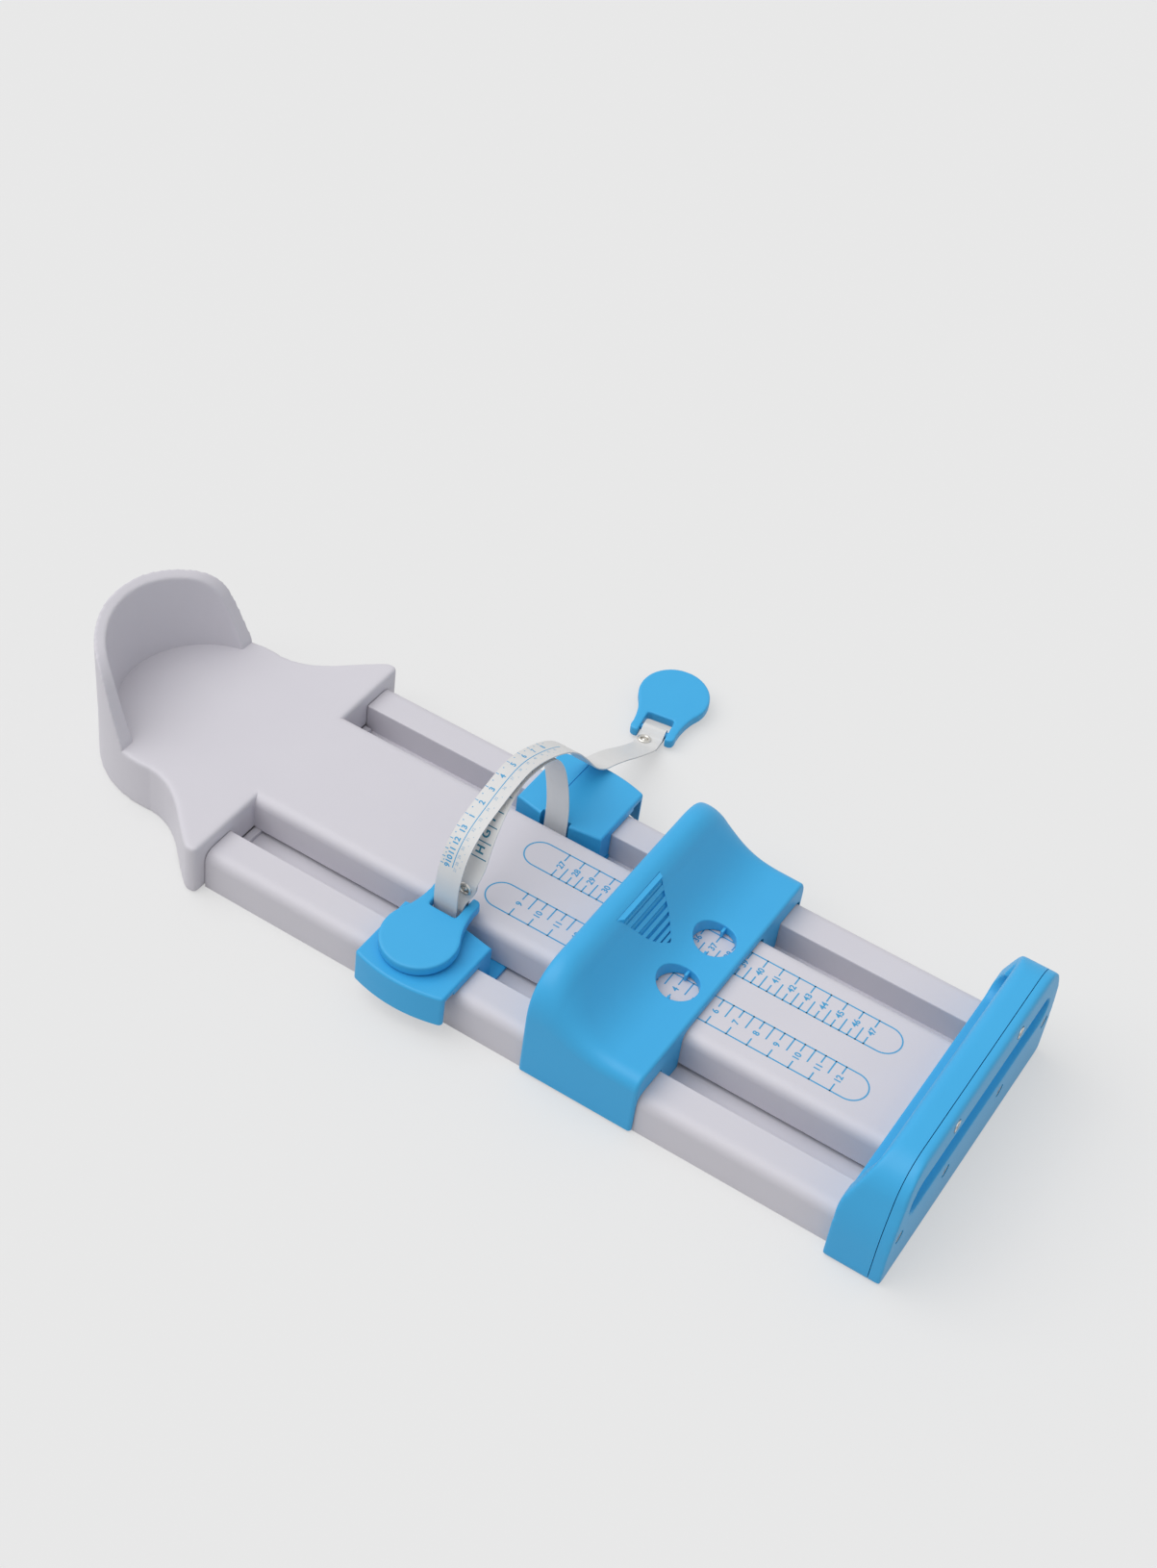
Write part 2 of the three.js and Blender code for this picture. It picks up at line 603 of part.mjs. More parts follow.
function toeSlide() {
  const across = toeHalfWidth + 1;
  const outer = runY(toeSideView(0), -across, across, 7)
    .intersect(runX(toeFrontView(), toeHeelX - 1, toeEndX + 1, 6));
  const tracks = [
    runX(plateTrack(legClearance), toeHeelX - 1, toeEndX + 1),
    runX(railTrack(-1, legClearance), toeHeelX - 1, toeEndX + 1),
    runX(railTrack(1, legClearance), toeHeelX - 1, toeEndX + 1),
  ];
  const inner = runY(toeSideView(toeWall), -across, across, 5)
    .intersect(runX(toeFrontView(toeWall), toeHeelX, toeEndX + 1, 5));
  const ribs = [-1, 1].map((side) => {
    const near = side * (legInner + toeWall);
    const far = side * (plateHalfWidth - toeWall);
    return box(toeHeelX, toeEndX + 1, Math.min(near, far), Math.max(near, far), -1, toeCrestHeight);
  });
  const legBlocks = toeKeeperScrewPlaces.map(([x, y]) => box(x - 4, x + 4, y - 7.5, y + 7.5, -1, plateTop));
  const shellRims = windowPlaces.map((y) => (
    roundZ(windowRadius + 1.6, toeWindowX, y, plateTop + legClearance, toeCrestHeight, 24)));
  const hollow = cutAll(inner, [...ribs, ...legBlocks, ...shellRims]);
  const footCut = box(toeHeelX - 1, toeEndX + 1, -railInner, railInner, -1, floorTop + gap);
  const relief = box(toeHeelX - 1, toeHeelX + crossbarReachToe - carriageLength / 2 + gap,
    -railInner, railInner, -1, keeperTop + seatGap);
  const keeperSeat = box(toeKeeperX - toeKeeperLength / 2 - gap, toeKeeperX + toeKeeperLength / 2 + gap,
    -railInner, railInner, -1, keeperTop + seatGap);
  const pilots = toeKeeperScrewPlaces.map(([x, y]) => (
    roundZ(screwShankRadius + gap, x, y, 0, keeperScrewTop + gap, 12)));
  const windows = windowPlaces.map((y) => roundZ(windowRadius, toeWindowX, y, 0, toeCrestHeight, 24));
  const body = cutAll(outer, [...tracks, hollow, footCut, relief, keeperSeat, ...windows]);
  const pointers = windowPlaces.flatMap((y) => [-1, 1].map((side) => {
    const inner = y + side * (windowRadius - windowPointerLength);
    const outerEdge = y + side * (windowRadius + 0.8);
    const half = windowPointerWidth / 2;
    const top = plateTop + legClearance + 2;
    return box(toeWindowX - half, toeWindowX + half, Math.min(inner, outerEdge), Math.max(inner, outerEdge),
      plateTop + legClearance, top);
  }));
  return joinAll([body, ...pointers]).subtract(joinAll(pilots));
}

place('toe_slide', toeSlide(), blue);

// A countersunk hole or screw head, wide at the bottom
function countersink(x, y, grow) {
  const head = new THREE.CylinderGeometry(screwShankRadius + grow, 2.1 + grow, 1.1, 16);
  return solid(head.rotateX(Math.PI / 2).translate(x, y, keeperBottom + 0.55));
}

function keeperBar(fromX, toX, screwPlaces) {
  const bar = box(fromX, toX, -legOuter, legOuter, keeperBottom, keeperTop);
  const holes = screwPlaces.flatMap(([x, y]) => [
    roundZ(screwShankRadius + gap, x, y, 0, keeperTop + 1, 12),
    countersink(x, y, gap),
    roundZ(2.1 + gap, x, y, keeperBottom - 1, keeperBottom + 0.01, 16),
  ]);
  return cutAll(bar, holes);
}

function keeperScrew(x, y) {
  const shank = roundZ(screwShankRadius, x, y, keeperBottom + 0.3, keeperScrewTop, 10);
  const slot = box(x - 1.5, x + 1.5, y - 0.3, y + 0.3, keeperBottom - 1, keeperBottom + 0.4);
  return countersink(x, y, 0).add(shank).subtract(slot);
}

place('toe_keeper', keeperBar(toeKeeperX - toeKeeperLength / 2, toeKeeperX + toeKeeperLength / 2,
  toeKeeperScrewPlaces), blue);
toeKeeperScrewPlaces.forEach(([x, y], i) => {
  place(`toe_keeper_screw_${i + 1}`, keeperScrew(x, y), steel);
});

// Width carriage: two sliders that ride the rails, joined by a crossbar under the foot plate
const nearTapeX = carriageX - 2.85;
const farTapeX = carriageX + 2.65;
const crossbarScrewPlaces = [-14, 14].flatMap((dx) => [
  [carriageX + dx, -legMiddle - 1], [carriageX + dx, legMiddle + 1],
]);

// The far slider sits a little further towards the toe than the near one
function sliderMiddle(side) {
  return side > 0 ? carriageX + farSliderOffset : carriageX;
}

function sliderPlan(side) {
  const half = carriageLength / 2;
  const middle = sliderMiddle(side);
  const [heel, toe] = [middle - half, middle + half];
  const shape = new THREE.Shape();
  shape.moveTo(heel, side * carriageInnerCorner);
  shape.lineTo(carriageX, side * carriageInnerApex);
  shape.lineTo(toe, side * carriageInnerCorner);
  shape.lineTo(toe, side * carriageOuter);
  shape.quadraticCurveTo(middle, side * (carriageOuter + 2 * carriageBow), heel, side * carriageOuter);
  shape.closePath();
  return shape;
}

function skirtHollow(side) {
  const half = carriageLength / 2 + 1;
  const middle = sliderMiddle(side);
  const outer = carriageOuter - carriageSkirtWall;
  const near = railOuter + legClearance;
  const shape = new THREE.Shape();
  shape.moveTo(middle - half, side * near);
  shape.lineTo(middle + half, side * near);
  shape.lineTo(middle + half, side * (outer - 0.2));
  shape.quadraticCurveTo(middle, side * (outer + 2 * carriageBow), middle - half, side * (outer - 0.2));
  shape.closePath();
  return runZ(shape, 0, carriageTop - carriageTopWall, 8);
}

function slider(side, notchX) {
  const body = runZ(sliderPlan(side), carriageSkirtBottom, carriageTop, 10);
  const [heel, toe] = [carriageX - carriageLength, carriageX + carriageLength];
  const notchEnd = carriageInnerApex + tapeNotchDepth;
  const notch = box(notchX - tapeNotchWidth / 2, notchX + tapeNotchWidth / 2,
    Math.min(0, side * notchEnd), Math.max(0, side * notchEnd), 0, carriageTop + 1);
  const pilots = crossbarScrewPlaces.filter(([, y]) => y * side > 0)
    .map(([x, y]) => roundZ(screwShankRadius + gap, x, y, 0, keeperScrewTop + gap, 12));
  const [near, far] = [side * (railInner - legClearance), side * (railOuter + legClearance)];
  const track = box(heel, toe, Math.min(near, far), Math.max(near, far), -2, railTop + legClearance);
  return cutAll(body, [track, skirtHollow(side), notch, ...pilots]);
}

place('near_slider', slider(-1, nearTapeX), blue);
place('far_slider', slider(1, farTapeX - farNotchShift), blue);

function crossbar() {
  const bar = keeperBar(carriageX - crossbarReachHeel, carriageX + crossbarReachToe, crossbarScrewPlaces);
  const channelFrom = nearTapeX - tapeWidth / 2 - 0.8;
  const channelTo = farTapeX + tapeWidth / 2 + 0.8;
  const reach = carriageInnerApex + tapeNotchDepth;
  return bar.subtract(box(channelFrom, channelTo, -reach, reach,
    keeperTop - keeperChannelDepth, keeperTop + 1));
}

place('carriage_crossbar', crossbar(), blue);
crossbarScrewPlaces.forEach(([x, y], i) => {
  place(`crossbar_screw_${i + 1}`, keeperScrew(x, y), steel);
});

// Tape grips: drop-shaped tabs with a bar that the tape is folded round, drawn from the bar outwards
const nearBar = new THREE.Vector3(nearTapeX + 0.6, -30.2, 27.35);
const farBar = new THREE.Vector3(carriageX - 1.5, 118.6, 3.7);
const nearGripTilt = THREE.MathUtils.degToRad(-4.5);
const farGripTilt = THREE.MathUtils.degToRad(3.5);
const farGripYaw = THREE.MathUtils.degToRad(9);
const nearTurn = new THREE.Euler(nearGripTilt, 0, Math.PI, 'ZYX');
const farTurn = new THREE.Euler(farGripTilt, 0, farGripYaw, 'ZYX');

function grip() {
  const edge = gripEdge;
  const half = gripHalfWidth;
  const neck = gripHalfWidth - 0.1;
  const tipY = -gripProngLength;
  const joinAngle = Math.PI / 6;
  const joinX = gripDiscRadius * Math.cos(joinAngle);
  const joinY = gripDiscDistance - gripDiscRadius * Math.sin(joinAngle);
  const shape = new THREE.Shape();
  shape.moveTo(-half + 2.2, tipY);
  shape.lineTo(half - 2.2, tipY);
  shape.quadraticCurveTo(half, tipY, half, tipY + 2.2);
  shape.lineTo(neck, 0);
  shape.bezierCurveTo(neck, 3.5, joinX - 2.2, joinY - 3.8, joinX, joinY);
  shape.absarc(0, gripDiscDistance, gripDiscRadius, -joinAngle, Math.PI + joinAngle, false);
  shape.bezierCurveTo(-joinX + 2.2, joinY - 3.8, -neck, 3.5, -neck, 0);
  shape.lineTo(-half, tipY + 2.2);
  shape.quadraticCurveTo(-half, tipY, -half + 2.2, tipY);
  const plate = solid(new THREE.ExtrudeGeometry(shape, {
    depth: gripThickness - 2 * edge, bevelEnabled: true, bevelThickness: edge, bevelSize: edge,
    bevelOffset: -edge, bevelSegments: 3, curveSegments: 10,
  }).translate(0, 0, -gripThickness / 2 + edge));
  const window = box(-gripWindowHalfWidth, gripWindowHalfWidth, tipY - 1, gripWindowLength, -5, 5);
  const bar = roundX(gripBarRadius, 0, 0, -gripWindowHalfWidth - 1, gripWindowHalfWidth + 1, 14);
  return plate.subtract(window).add(bar);
}

function placeTurned(name, body, finish, position, turn) {
  const part = place(name, body, finish);
  part.position.copy(position);
  part.rotation.copy(turn);
}

placeTurned('near_grip', grip(), blue, nearBar, nearTurn);
placeTurned('far_grip', grip(), blue, farBar, farTurn);

// Tape: one band from its fold on the near grip over the plate, down the far notch, back under the
// plate, up through the near grip's window, over the plate again and out to its fold on the far grip
const letterX = nearBar.x + 0.5;
const nearFold = [370, 325, 270, 215, 170].map((degrees) => {
  const angle = THREE.MathUtils.degToRad(degrees);
  return [letterX, nearBar.y + foldRadius * Math.cos(angle), nearBar.z + foldRadius * Math.sin(angle)];
});

function farLocal(inward, height, sideways = 0) {
  const x = farBar.x + inward * Math.sin(farGripYaw) + sideways * Math.cos(farGripYaw);
  const y = farBar.y - inward * Math.cos(farGripYaw) + sideways * Math.sin(farGripYaw);
  return [x, y, farBar.z + height];
}

// Height of the lower ply over the bar: the end of the tape, folded back under the ply that runs on
function lapHeight(inward) {
  return -1.4 + 0.2 * (inward - 4);
}

const farFold = [100, 50, 0, -50, -100].map((degrees) => {
  const angle = THREE.MathUtils.degToRad(degrees);
  return farLocal(-foldRadius * Math.cos(angle), foldRadius * Math.sin(angle));
});

function over(x, y, z) {
  return [carriageX + x, y, z];
}

const lapY = -29.1;
const tapeRoute = [
  [letterX + 3.2, lapY + lapSpacing / 2, 40.2], [letterX + 2.9, lapY + lapSpacing / 2, 37],
  [letterX + 1.6, lapY + lapSpacing / 2, 33.3], [letterX + 0.4, lapY + 0.6, 30.8], ...nearFold,
  [letterX + 0.4, lapY - 1.7, 30.8], [letterX + 1.6, lapY - lapSpacing / 2, 33.3],
  [letterX + 2.9, lapY - lapSpacing / 2, 37], [letterX + 3.3, lapY - lapSpacing / 2, 40.6],
  over(2.2, -26.1, 46.2), over(1.4, -21.3, 52.9), over(0.26, -14.9, 58.6), over(-1.3, -6, 62.5),
  over(-2.6, 4, 64.5), over(-2.7, 13.4, 64), over(-3, 22.5, 61.1), over(-3.1, 30, 56.4),
  over(-2.1, 34.2, 49.2), over(-0.3, 35.4, 40), over(1.8, 34.6, 30), over(2.55, 33.8, 22),
  [farTapeX, 33.4, 15], [farTapeX, 33.2, 10.5],
  [farTapeX - 0.1, 32.4, 8.2], [farTapeX - 0.3, 30.2, 7.25], [farTapeX - 0.7, 26, 7.2],
  over(-0.1, 0, 7.2), [nearTapeX + 0.6, -26, 7.2], [nearTapeX + 0.2, -30.6, 7.25], [nearTapeX, -32.9, 8.3],
  [nearTapeX, -33.7, 10.6], [nearTapeX, -33.9, 15], [nearTapeX, -33.9, 22], [nearTapeX, -34.3, 27],
  [nearTapeX, -34.8, 36], [nearTapeX, -33.5, 45], [nearTapeX, -29.5, 54], [nearTapeX, -23, 59.5],
  [nearTapeX, -12.5, 63.4], [nearTapeX, -3, 66], [nearTapeX, 6, 67.3], [nearTapeX, 13, 66.5],
  [nearTapeX, 24, 62.5], [nearTapeX, 36, 56], [nearTapeX, 45.5, 48.3], [nearTapeX, 54, 38.5],
  over(-2, 61.5, 28.9), over(-0.8, 66.5, 25.3), over(0.3, 73, 23.5), over(1, 81, 20),
  over(1.2, 90, 14.8), over(0.9, 99.5, 9.2),
  ...[11, 7.5, 4].map((inward) => farLocal(inward, lapHeight(inward) + lapSpacing)), farLocal(2.3, 0.6),
  ...farFold, ...[4, 7, 10.3].map((inward) => farLocal(inward, lapHeight(inward))),
];

function ribbon(route, steps) {
  const points = route.map((point) => new THREE.Vector3(...point));
  const curve = new THREE.CatmullRomCurve3(points, false, 'centripetal');
  const count = (route.length - 1) * steps;
  const positions = [];
  const index = [];
  for (let i = 0; i <= count; i += 1) {
    const centre = curve.getPoint(i / count);
    const ahead = curve.getTangent(i / count);
    const yaw = farGripYaw * THREE.MathUtils.smoothstep(centre.y, 75, 104);
    const across = new THREE.Vector3(Math.cos(yaw), Math.sin(yaw), 0);
    const up = new THREE.Vector3().crossVectors(ahead, across).normalize();
    [[-1, -1], [1, -1], [1, 1], [-1, 1]].forEach(([a, b]) => {
      const corner = centre.clone().addScaledVector(across, a * tapeWidth / 2);
      corner.addScaledVector(up, b * tapeThickness / 2);
      positions.push(corner.x, corner.y, corner.z);
    });
    if (i === 0) continue;
    const at = 4 * i;
    for (let k = 0; k < 4; k += 1) {
      const next = (k + 1) % 4;
      index.push(at - 4 + k, at - 4 + next, at + next, at - 4 + k, at + next, at + k);
    }
  }
  const last = 4 * count;
  index.push(0, 2, 1, 0, 3, 2, last, last + 1, last + 2, last, last + 2, last + 3);
  const geometry = new THREE.BufferGeometry();
  geometry.setAttribute('position', new THREE.Float32BufferAttribute(positions, 3));
  geometry.setIndex(index);
  return solid(geometry);
}

// Rivets that close the two folds, each square to its lap
const nearRivet = new THREE.Matrix4().compose(
  new THREE.Vector3(letterX + 2.9, lapY, 37),
  new THREE.Quaternion().setFromEuler(new THREE.Euler(Math.PI / 2, 0, 0)),
  new THREE.Vector3(1, 1, 1));
const farRivetTilt = Math.atan(0.2);
const farRivet = new THREE.Matrix4().compose(
  new THREE.Vector3(...farLocal(7, lapHeight(7) + lapSpacing / 2, farRivetOffset)),
  new THREE.Quaternion().setFromEuler(new THREE.Euler(-farRivetTilt, 0, farGripYaw, 'ZYX')),
  new THREE.Vector3(1, 1, 1));

function pin(radius, reach, sides, matrix) {
  const geometry = new THREE.CylinderGeometry(radius, radius, 2 * reach, sides).rotateX(Math.PI / 2);
  return solid(geometry.applyMatrix4(matrix));
}

function rivet(matrix) {
  const inner = lapSpacing / 2 + tapeThickness / 2 + 0.25;
  const outer = inner + rivetHeadHeight;
  const heads = pin(rivetHeadRadius, outer, 20, matrix)
    .subtract(pin(rivetHeadRadius + 1, inner, 20, matrix));
  return heads.add(pin(rivetShankRadius, inner + 0.1, 14, matrix));
}

const tapeHoles = [nearRivet, farRivet].map((matrix) => pin(rivetShankRadius + gap, 3, 14, matrix));
place('measuring_tape', cutAll(ribbon(tapeRoute, 3), tapeHoles), tapeFinish);
place('near_rivet', rivet(nearRivet), steel);
place('far_rivet', rivet(farRivet), steel);

export default device;
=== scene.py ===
import bisect
import math

import bmesh
import bpy
from mathutils import Matrix, Vector
from mathutils.geometry import interpolate_bezier


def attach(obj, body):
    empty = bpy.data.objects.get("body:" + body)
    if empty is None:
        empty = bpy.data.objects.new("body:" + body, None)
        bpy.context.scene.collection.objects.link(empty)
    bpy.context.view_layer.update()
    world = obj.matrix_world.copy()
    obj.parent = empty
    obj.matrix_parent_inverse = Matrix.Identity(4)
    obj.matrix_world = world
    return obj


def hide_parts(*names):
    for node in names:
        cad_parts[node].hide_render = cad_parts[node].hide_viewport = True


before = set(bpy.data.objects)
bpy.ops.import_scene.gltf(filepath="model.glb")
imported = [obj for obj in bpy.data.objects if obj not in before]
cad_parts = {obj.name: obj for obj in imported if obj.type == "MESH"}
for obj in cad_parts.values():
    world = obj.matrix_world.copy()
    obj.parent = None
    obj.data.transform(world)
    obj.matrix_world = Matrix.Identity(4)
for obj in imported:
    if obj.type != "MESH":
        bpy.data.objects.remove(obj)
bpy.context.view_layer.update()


# ---- Camera -------------------------------------------------------------------------------
# A long lens looks down on the gauge from beyond the near corner of its handle, tipped a little
# to one side, so that the device runs from the upper left to the lower right.
CAMERA_PLACE = (0.29996, -0.57104, 0.70311)
CAMERA_TURN = math.radians(26.306)
CAMERA_DIP = math.radians(44.245)
CAMERA_ROLL = math.radians(8.599)
CAMERA_LENS = 77.841


def add_named(operator, name, **settings):
    """Adds something with one of Blender's operators and names it."""
    bpy.ops.object.select_all(action="DESELECT")
    operator(**settings)
    piece = bpy.context.active_object
    piece.name = piece.data.name = name
    return piece


camera = add_named(bpy.ops.object.camera_add, "camera", location=CAMERA_PLACE)
camera.matrix_world = (
    Matrix.Translation(CAMERA_PLACE)
    @ Matrix.Rotation(CAMERA_TURN, 4, "Z")
    @ Matrix.Rotation(math.pi / 2 - CAMERA_DIP, 4, "X")
    @ Matrix.Rotation(CAMERA_ROLL, 4, "Z")
)
camera.data.sensor_fit = "HORIZONTAL"
camera.data.sensor_width = 36.0
camera.data.lens = CAMERA_LENS
camera.data.clip_start = 0.01
bpy.context.scene.camera = camera
bpy.context.scene.view_settings.view_transform = "Standard"


# ---- Studio -------------------------------------------------------------------------------
# A seamless pale grey sweep under one very broad lamp that hangs overhead, a little behind the
# heel cup. The grey of the paper is the grey that fills the picture.
PAPER_SIZE = 9.0
PAPER_GREY = (0.807, 0.807, 0.807, 1.0)
PAPER_TONES = (0.800, 0.800, 0.799, 1.0), (0.812, 0.812, 0.811, 1.0)
PAPER_BOUNCE = (0.58, 0.58, 0.58, 1.0)
SHADOW_FADE = 0.6
WHITE = (1.0, 1.0, 1.0, 1.0)
SKY_LEVEL = 0.56
LAMP_LEVEL = 1.62
LAMP_SPREAD = math.radians(62)
LAMP_PLACE = (-0.6, 0.3, 1.6)
LAMP_TURN = (math.radians(14), math.radians(-27), 0.0)


class Signal:
    """A socket of a finish's nodes that can stand in a sum."""

    def __init__(self, finish, socket):
        self.finish = finish
        self.socket = socket

    def _sum(self, operation, other):
        return self.finish.add("ShaderNodeMath", {0: self, 1: other}, operation=operation)

    def __add__(self, other):
        return self._sum("ADD", other)

    def __mul__(self, other):
        return self._sum("MULTIPLY", other)


class Finish:
    """The nodes of one material or of the sky."""

    def __init__(self, name, owner=None):
        self.owner = owner or bpy.data.materials.new(name)
        self.owner.use_nodes = True
        self.tree = self.owner.node_tree
        self.tree.nodes.clear()

    def add(self, kind, sockets=None, out=0, **settings):
        """Adds a node, sets it up, then fills its sockets, and gives back one of its outputs."""
        node = self.tree.nodes.new(kind)
        for key, value in settings.items():
            setattr(node, key, value)
        for key, value in (sockets or {}).items():
            socket = self._find(node.inputs, key)
            if isinstance(value, Signal):
                self.tree.links.new(value.socket, socket)
            else:
                socket.default_value = value
        if not node.outputs:
            return None
        return Signal(self, self._find(node.outputs, out))

    @staticmethod
    def _find(sockets, key):
        if isinstance(key, int):
            return sockets[key]
        for socket in sockets:
            if socket.identifier == key:
                return socket
        return sockets[key]

    def mix(self, factor, first, second):
        """A colour between two others."""
        return self.add("ShaderNodeMix", {
            "Factor_Float": factor, "A_Color": first, "B_Color": second},
            out="Result_Color", data_type="RGBA")

    def place(self):
        """Where a point lies on its own piece."""
        return self.add("ShaderNodeTexCoord", out="Object")

    def noise(self, place, scale, detail=2.0, roughness=0.5):
        """A cloudy pattern."""
        return self.add("ShaderNodeTexNoise", {
            "Vector": place, "Scale": scale, "Detail": detail, "Roughness": roughness}, out="Fac")

    def relief(self, height, strength, distance):
        """A shading normal from a pattern of heights."""
        return self.add("ShaderNodeBump", {
            "Height": height, "Strength": strength, "Distance": distance}, out="Normal")

    def seen_directly(self):
        """1 where the camera, a gloss or a glass looks straight at the surface."""
        path = self.add("ShaderNodeLightPath", out="Is Camera Ray")
        rays = path.socket.node.outputs
        total = (path + Signal(self, rays["Is Glossy Ray"])
                 + Signal(self, rays["Is Transmission Ray"]))
        return self.add("ShaderNodeMath", {0: total, 1: 1.0}, operation="MINIMUM")

    def surface(self, sockets):
        """Ends a material in one shaded surface and gives the material back."""
        body = self.add("ShaderNodeBsdfPrincipled", sockets)
        self.add("ShaderNodeOutputMaterial", {"Surface": body})
        return self.owner


world = bpy.data.worlds.new("sky")
bpy.context.scene.world = world
sky = Finish("sky", world)
glow = sky.add("ShaderNodeBackground", {"Color": WHITE, "Strength": SKY_LEVEL})
paper_view = sky.add("ShaderNodeBackground", {"Color": PAPER_GREY, "Strength": 1.0})
blend = sky.add("ShaderNodeMixShader", {0: sky.seen_directly(), 1: glow, 2: paper_view})
sky.add("ShaderNodeOutputWorld", {"Surface": blend})

lamp = add_named(bpy.ops.object.light_add, "broad_lamp",
                 type="SUN", location=LAMP_PLACE, rotation=LAMP_TURN)
lamp.data.energy = LAMP_LEVEL
lamp.data.angle = LAMP_SPREAD

paper = Finish("paper")
paper_seen = paper.seen_directly()
paper_tone = paper.mix(paper.noise(paper.place(), 3.0), *PAPER_TONES)
paper_body = paper.add("ShaderNodeBsdfPrincipled", {
    "Base Color": paper.mix(paper_seen, PAPER_BOUNCE, paper_tone),
    "Roughness": 0.9, "Specular IOR Level": 0.05})
paper_plain = paper.add("ShaderNodeEmission", {"Color": PAPER_GREY, "Strength": 1.0})
paper_blend = paper.add("ShaderNodeMixShader", {
    0: paper_seen * SHADOW_FADE, 1: paper_body, 2: paper_plain})
paper.add("ShaderNodeOutputMaterial", {"Surface": paper_blend})

floor = add_named(bpy.ops.mesh.primitive_plane_add, "studio_floor",
                  size=PAPER_SIZE, location=(0, 0, -0.0001))
floor.data.materials.append(paper.owner)


# ---- Heel block, cup and foot plate -------------------------------------------------------
# One white injection moulding: a waisted block with two flared wings, the cup that holds the
# heel, and the long plate that the foot lies on. It is hollow below and screwed up from below.
MM = 0.001
GAP = 0.3
HEEL_END = -190.8
CUP_X = -148.9
CUP_INNER = 35.1
CUP_OUTER = 41.9
CUP_FLARE = 0.8
CUP_RIM = 4.2
CUP_HEIGHT = 61.5
CUP_FRONT_HEIGHT = 54.0
WING_END = -102.6
WING_HALF = 66.2
WAIST_HALF = 41.6
WAIST_AHEAD = 6.0
PLATE_TOP = 23.7
PLATE_HALF = 29.3
PLATE_BOTTOM = 8.0
PLATE_END = 168.3
PLATE_WALL = 2.6
BLOCK_WALL = 3.0
RAIL_INNER = 44.15


def sweep(start, first, second, end, steps):
    """Points of a curve with two handles, without its first point."""
    points = (Vector((*point, 0.0)) for point in (start, first, second, end))
    return [(p.x, p.y) for p in interpolate_bezier(*points, steps + 1)][1:]


def bend(start, corner, end, steps=8):
    """Points of the short curve that rounds a corner, without its first point."""
    start, corner, end = Vector(start), Vector(corner), Vector(end)
    first = start + (corner - start) * (2 / 3)
    second = end + (corner - end) * (2 / 3)
    return sweep(start, first, second, end, steps)


def arc(a, b, radius, first, last, steps):
    """Points along a part of a circle."""
    turns = [first + (last - first) * i / steps for i in range(steps + 1)]
    return [(a + radius * math.cos(turn), b + radius * math.sin(turn)) for turn in turns]


def rounded(corners, steps=8):
    """An outline from corners that each carry how far the rounding reaches from them."""
    outline = []
    for i, (a, b, *reach) in enumerate(corners):
        if not reach:
            outline.append((a, b))
            continue
        corner = Vector((a, b))
        back = Vector(corners[i - 1][:2]) - corner
        ahead = Vector(corners[(i + 1) % len(corners)][:2]) - corner
        start = corner + back.normalized() * min(reach[0], back.length / 2)
        end = corner + ahead.normalized() * min(reach[0], ahead.length / 2)
        outline.append(tuple(start))
        outline += bend(start, corner, end, steps)
    return outline


def only(piece):
    """Selects one piece and nothing else."""
    bpy.ops.object.select_all(action="DESELECT")
    piece.select_set(True)
    bpy.context.view_layer.objects.active = piece


def edit(piece):
    """Opens a piece for editing, with all of it selected."""
    only(piece)
    bpy.ops.object.mode_set(mode="EDIT")
    bpy.ops.mesh.select_all(action="SELECT")


def face_outwards():
    """Turns every face of the piece in hand outwards and leaves edit mode."""
    bpy.ops.mesh.select_all(action="SELECT")
    bpy.ops.mesh.normals_make_consistent(inside=False)
    bpy.ops.object.mode_set(mode="OBJECT")


def slab(name, outline, axis, low, high):
    """A closed outline, in millimetres, drawn square to an axis and pushed along it."""
    piece = add_named(bpy.ops.mesh.primitive_circle_add, name,
                      vertices=len(outline), fill_type="NGON")
    for vertex, (a, b) in zip(piece.data.vertices, outline):
        place = {"X": (low, a, b), "Y": (a, low, b), "Z": (a, b, low)}[axis]
        vertex.co = Vector(place) * MM
    push = {"X": (1, 0, 0), "Y": (0, 1, 0), "Z": (0, 0, 1)}[axis]
    edit(piece)
    bpy.ops.mesh.extrude_region_move(
        TRANSFORM_OT_translate={"value": Vector(push) * (high - low) * MM})
    face_outwards()
    return piece


def block(name, x, y, z):
    """A slab with square corners, from its three pairs of limits."""
    return slab(name, [(x[0], y[0]), (x[1], y[0]), (x[1], y[1]), (x[0], y[1])], "Z", *z)


def finish_with(piece, kind, **settings):
    """Adds a modifier to a piece and applies it."""
    only(piece)
    modifier = piece.modifiers.new(kind.lower(), kind)
    for key, value in settings.items():
        setattr(modifier, key, value)
    bpy.ops.object.modifier_apply(modifier=modifier.name)


def shape_with(piece, way, *tools):
    """Takes tools away from a piece, joins them to it or keeps what they share."""
    for tool in tools:
        finish_with(piece, "BOOLEAN", operation=way, solver="MANIFOLD", object=tool)
        bpy.data.objects.remove(tool, do_unlink=True)
    return piece


def pick_edges(piece, chosen):
    """Selects the edges of the piece in hand that pass a test."""
    bpy.ops.mesh.select_mode(type="EDGE")
    bpy.ops.mesh.select_all(action="DESELECT")
    shape = bmesh.from_edit_mesh(piece.data)
    for edge in shape.edges:
        edge.select = bool(chosen(edge))
    bmesh.update_edit_mesh(piece.data)


def round_edges(piece, width, steps, chosen):
    """Bevels the edges whose two ends and sharpness pass a test."""
    edit(piece)
    pick_edges(piece, lambda edge: chosen([vertex.co / MM for vertex in edge.verts],
                                          edge.calc_face_angle(0.0)))
    bpy.ops.mesh.bevel(offset=width * MM, segments=steps, affect="EDGES", clamp_overlap=False)
    bpy.ops.object.mode_set(mode="OBJECT")


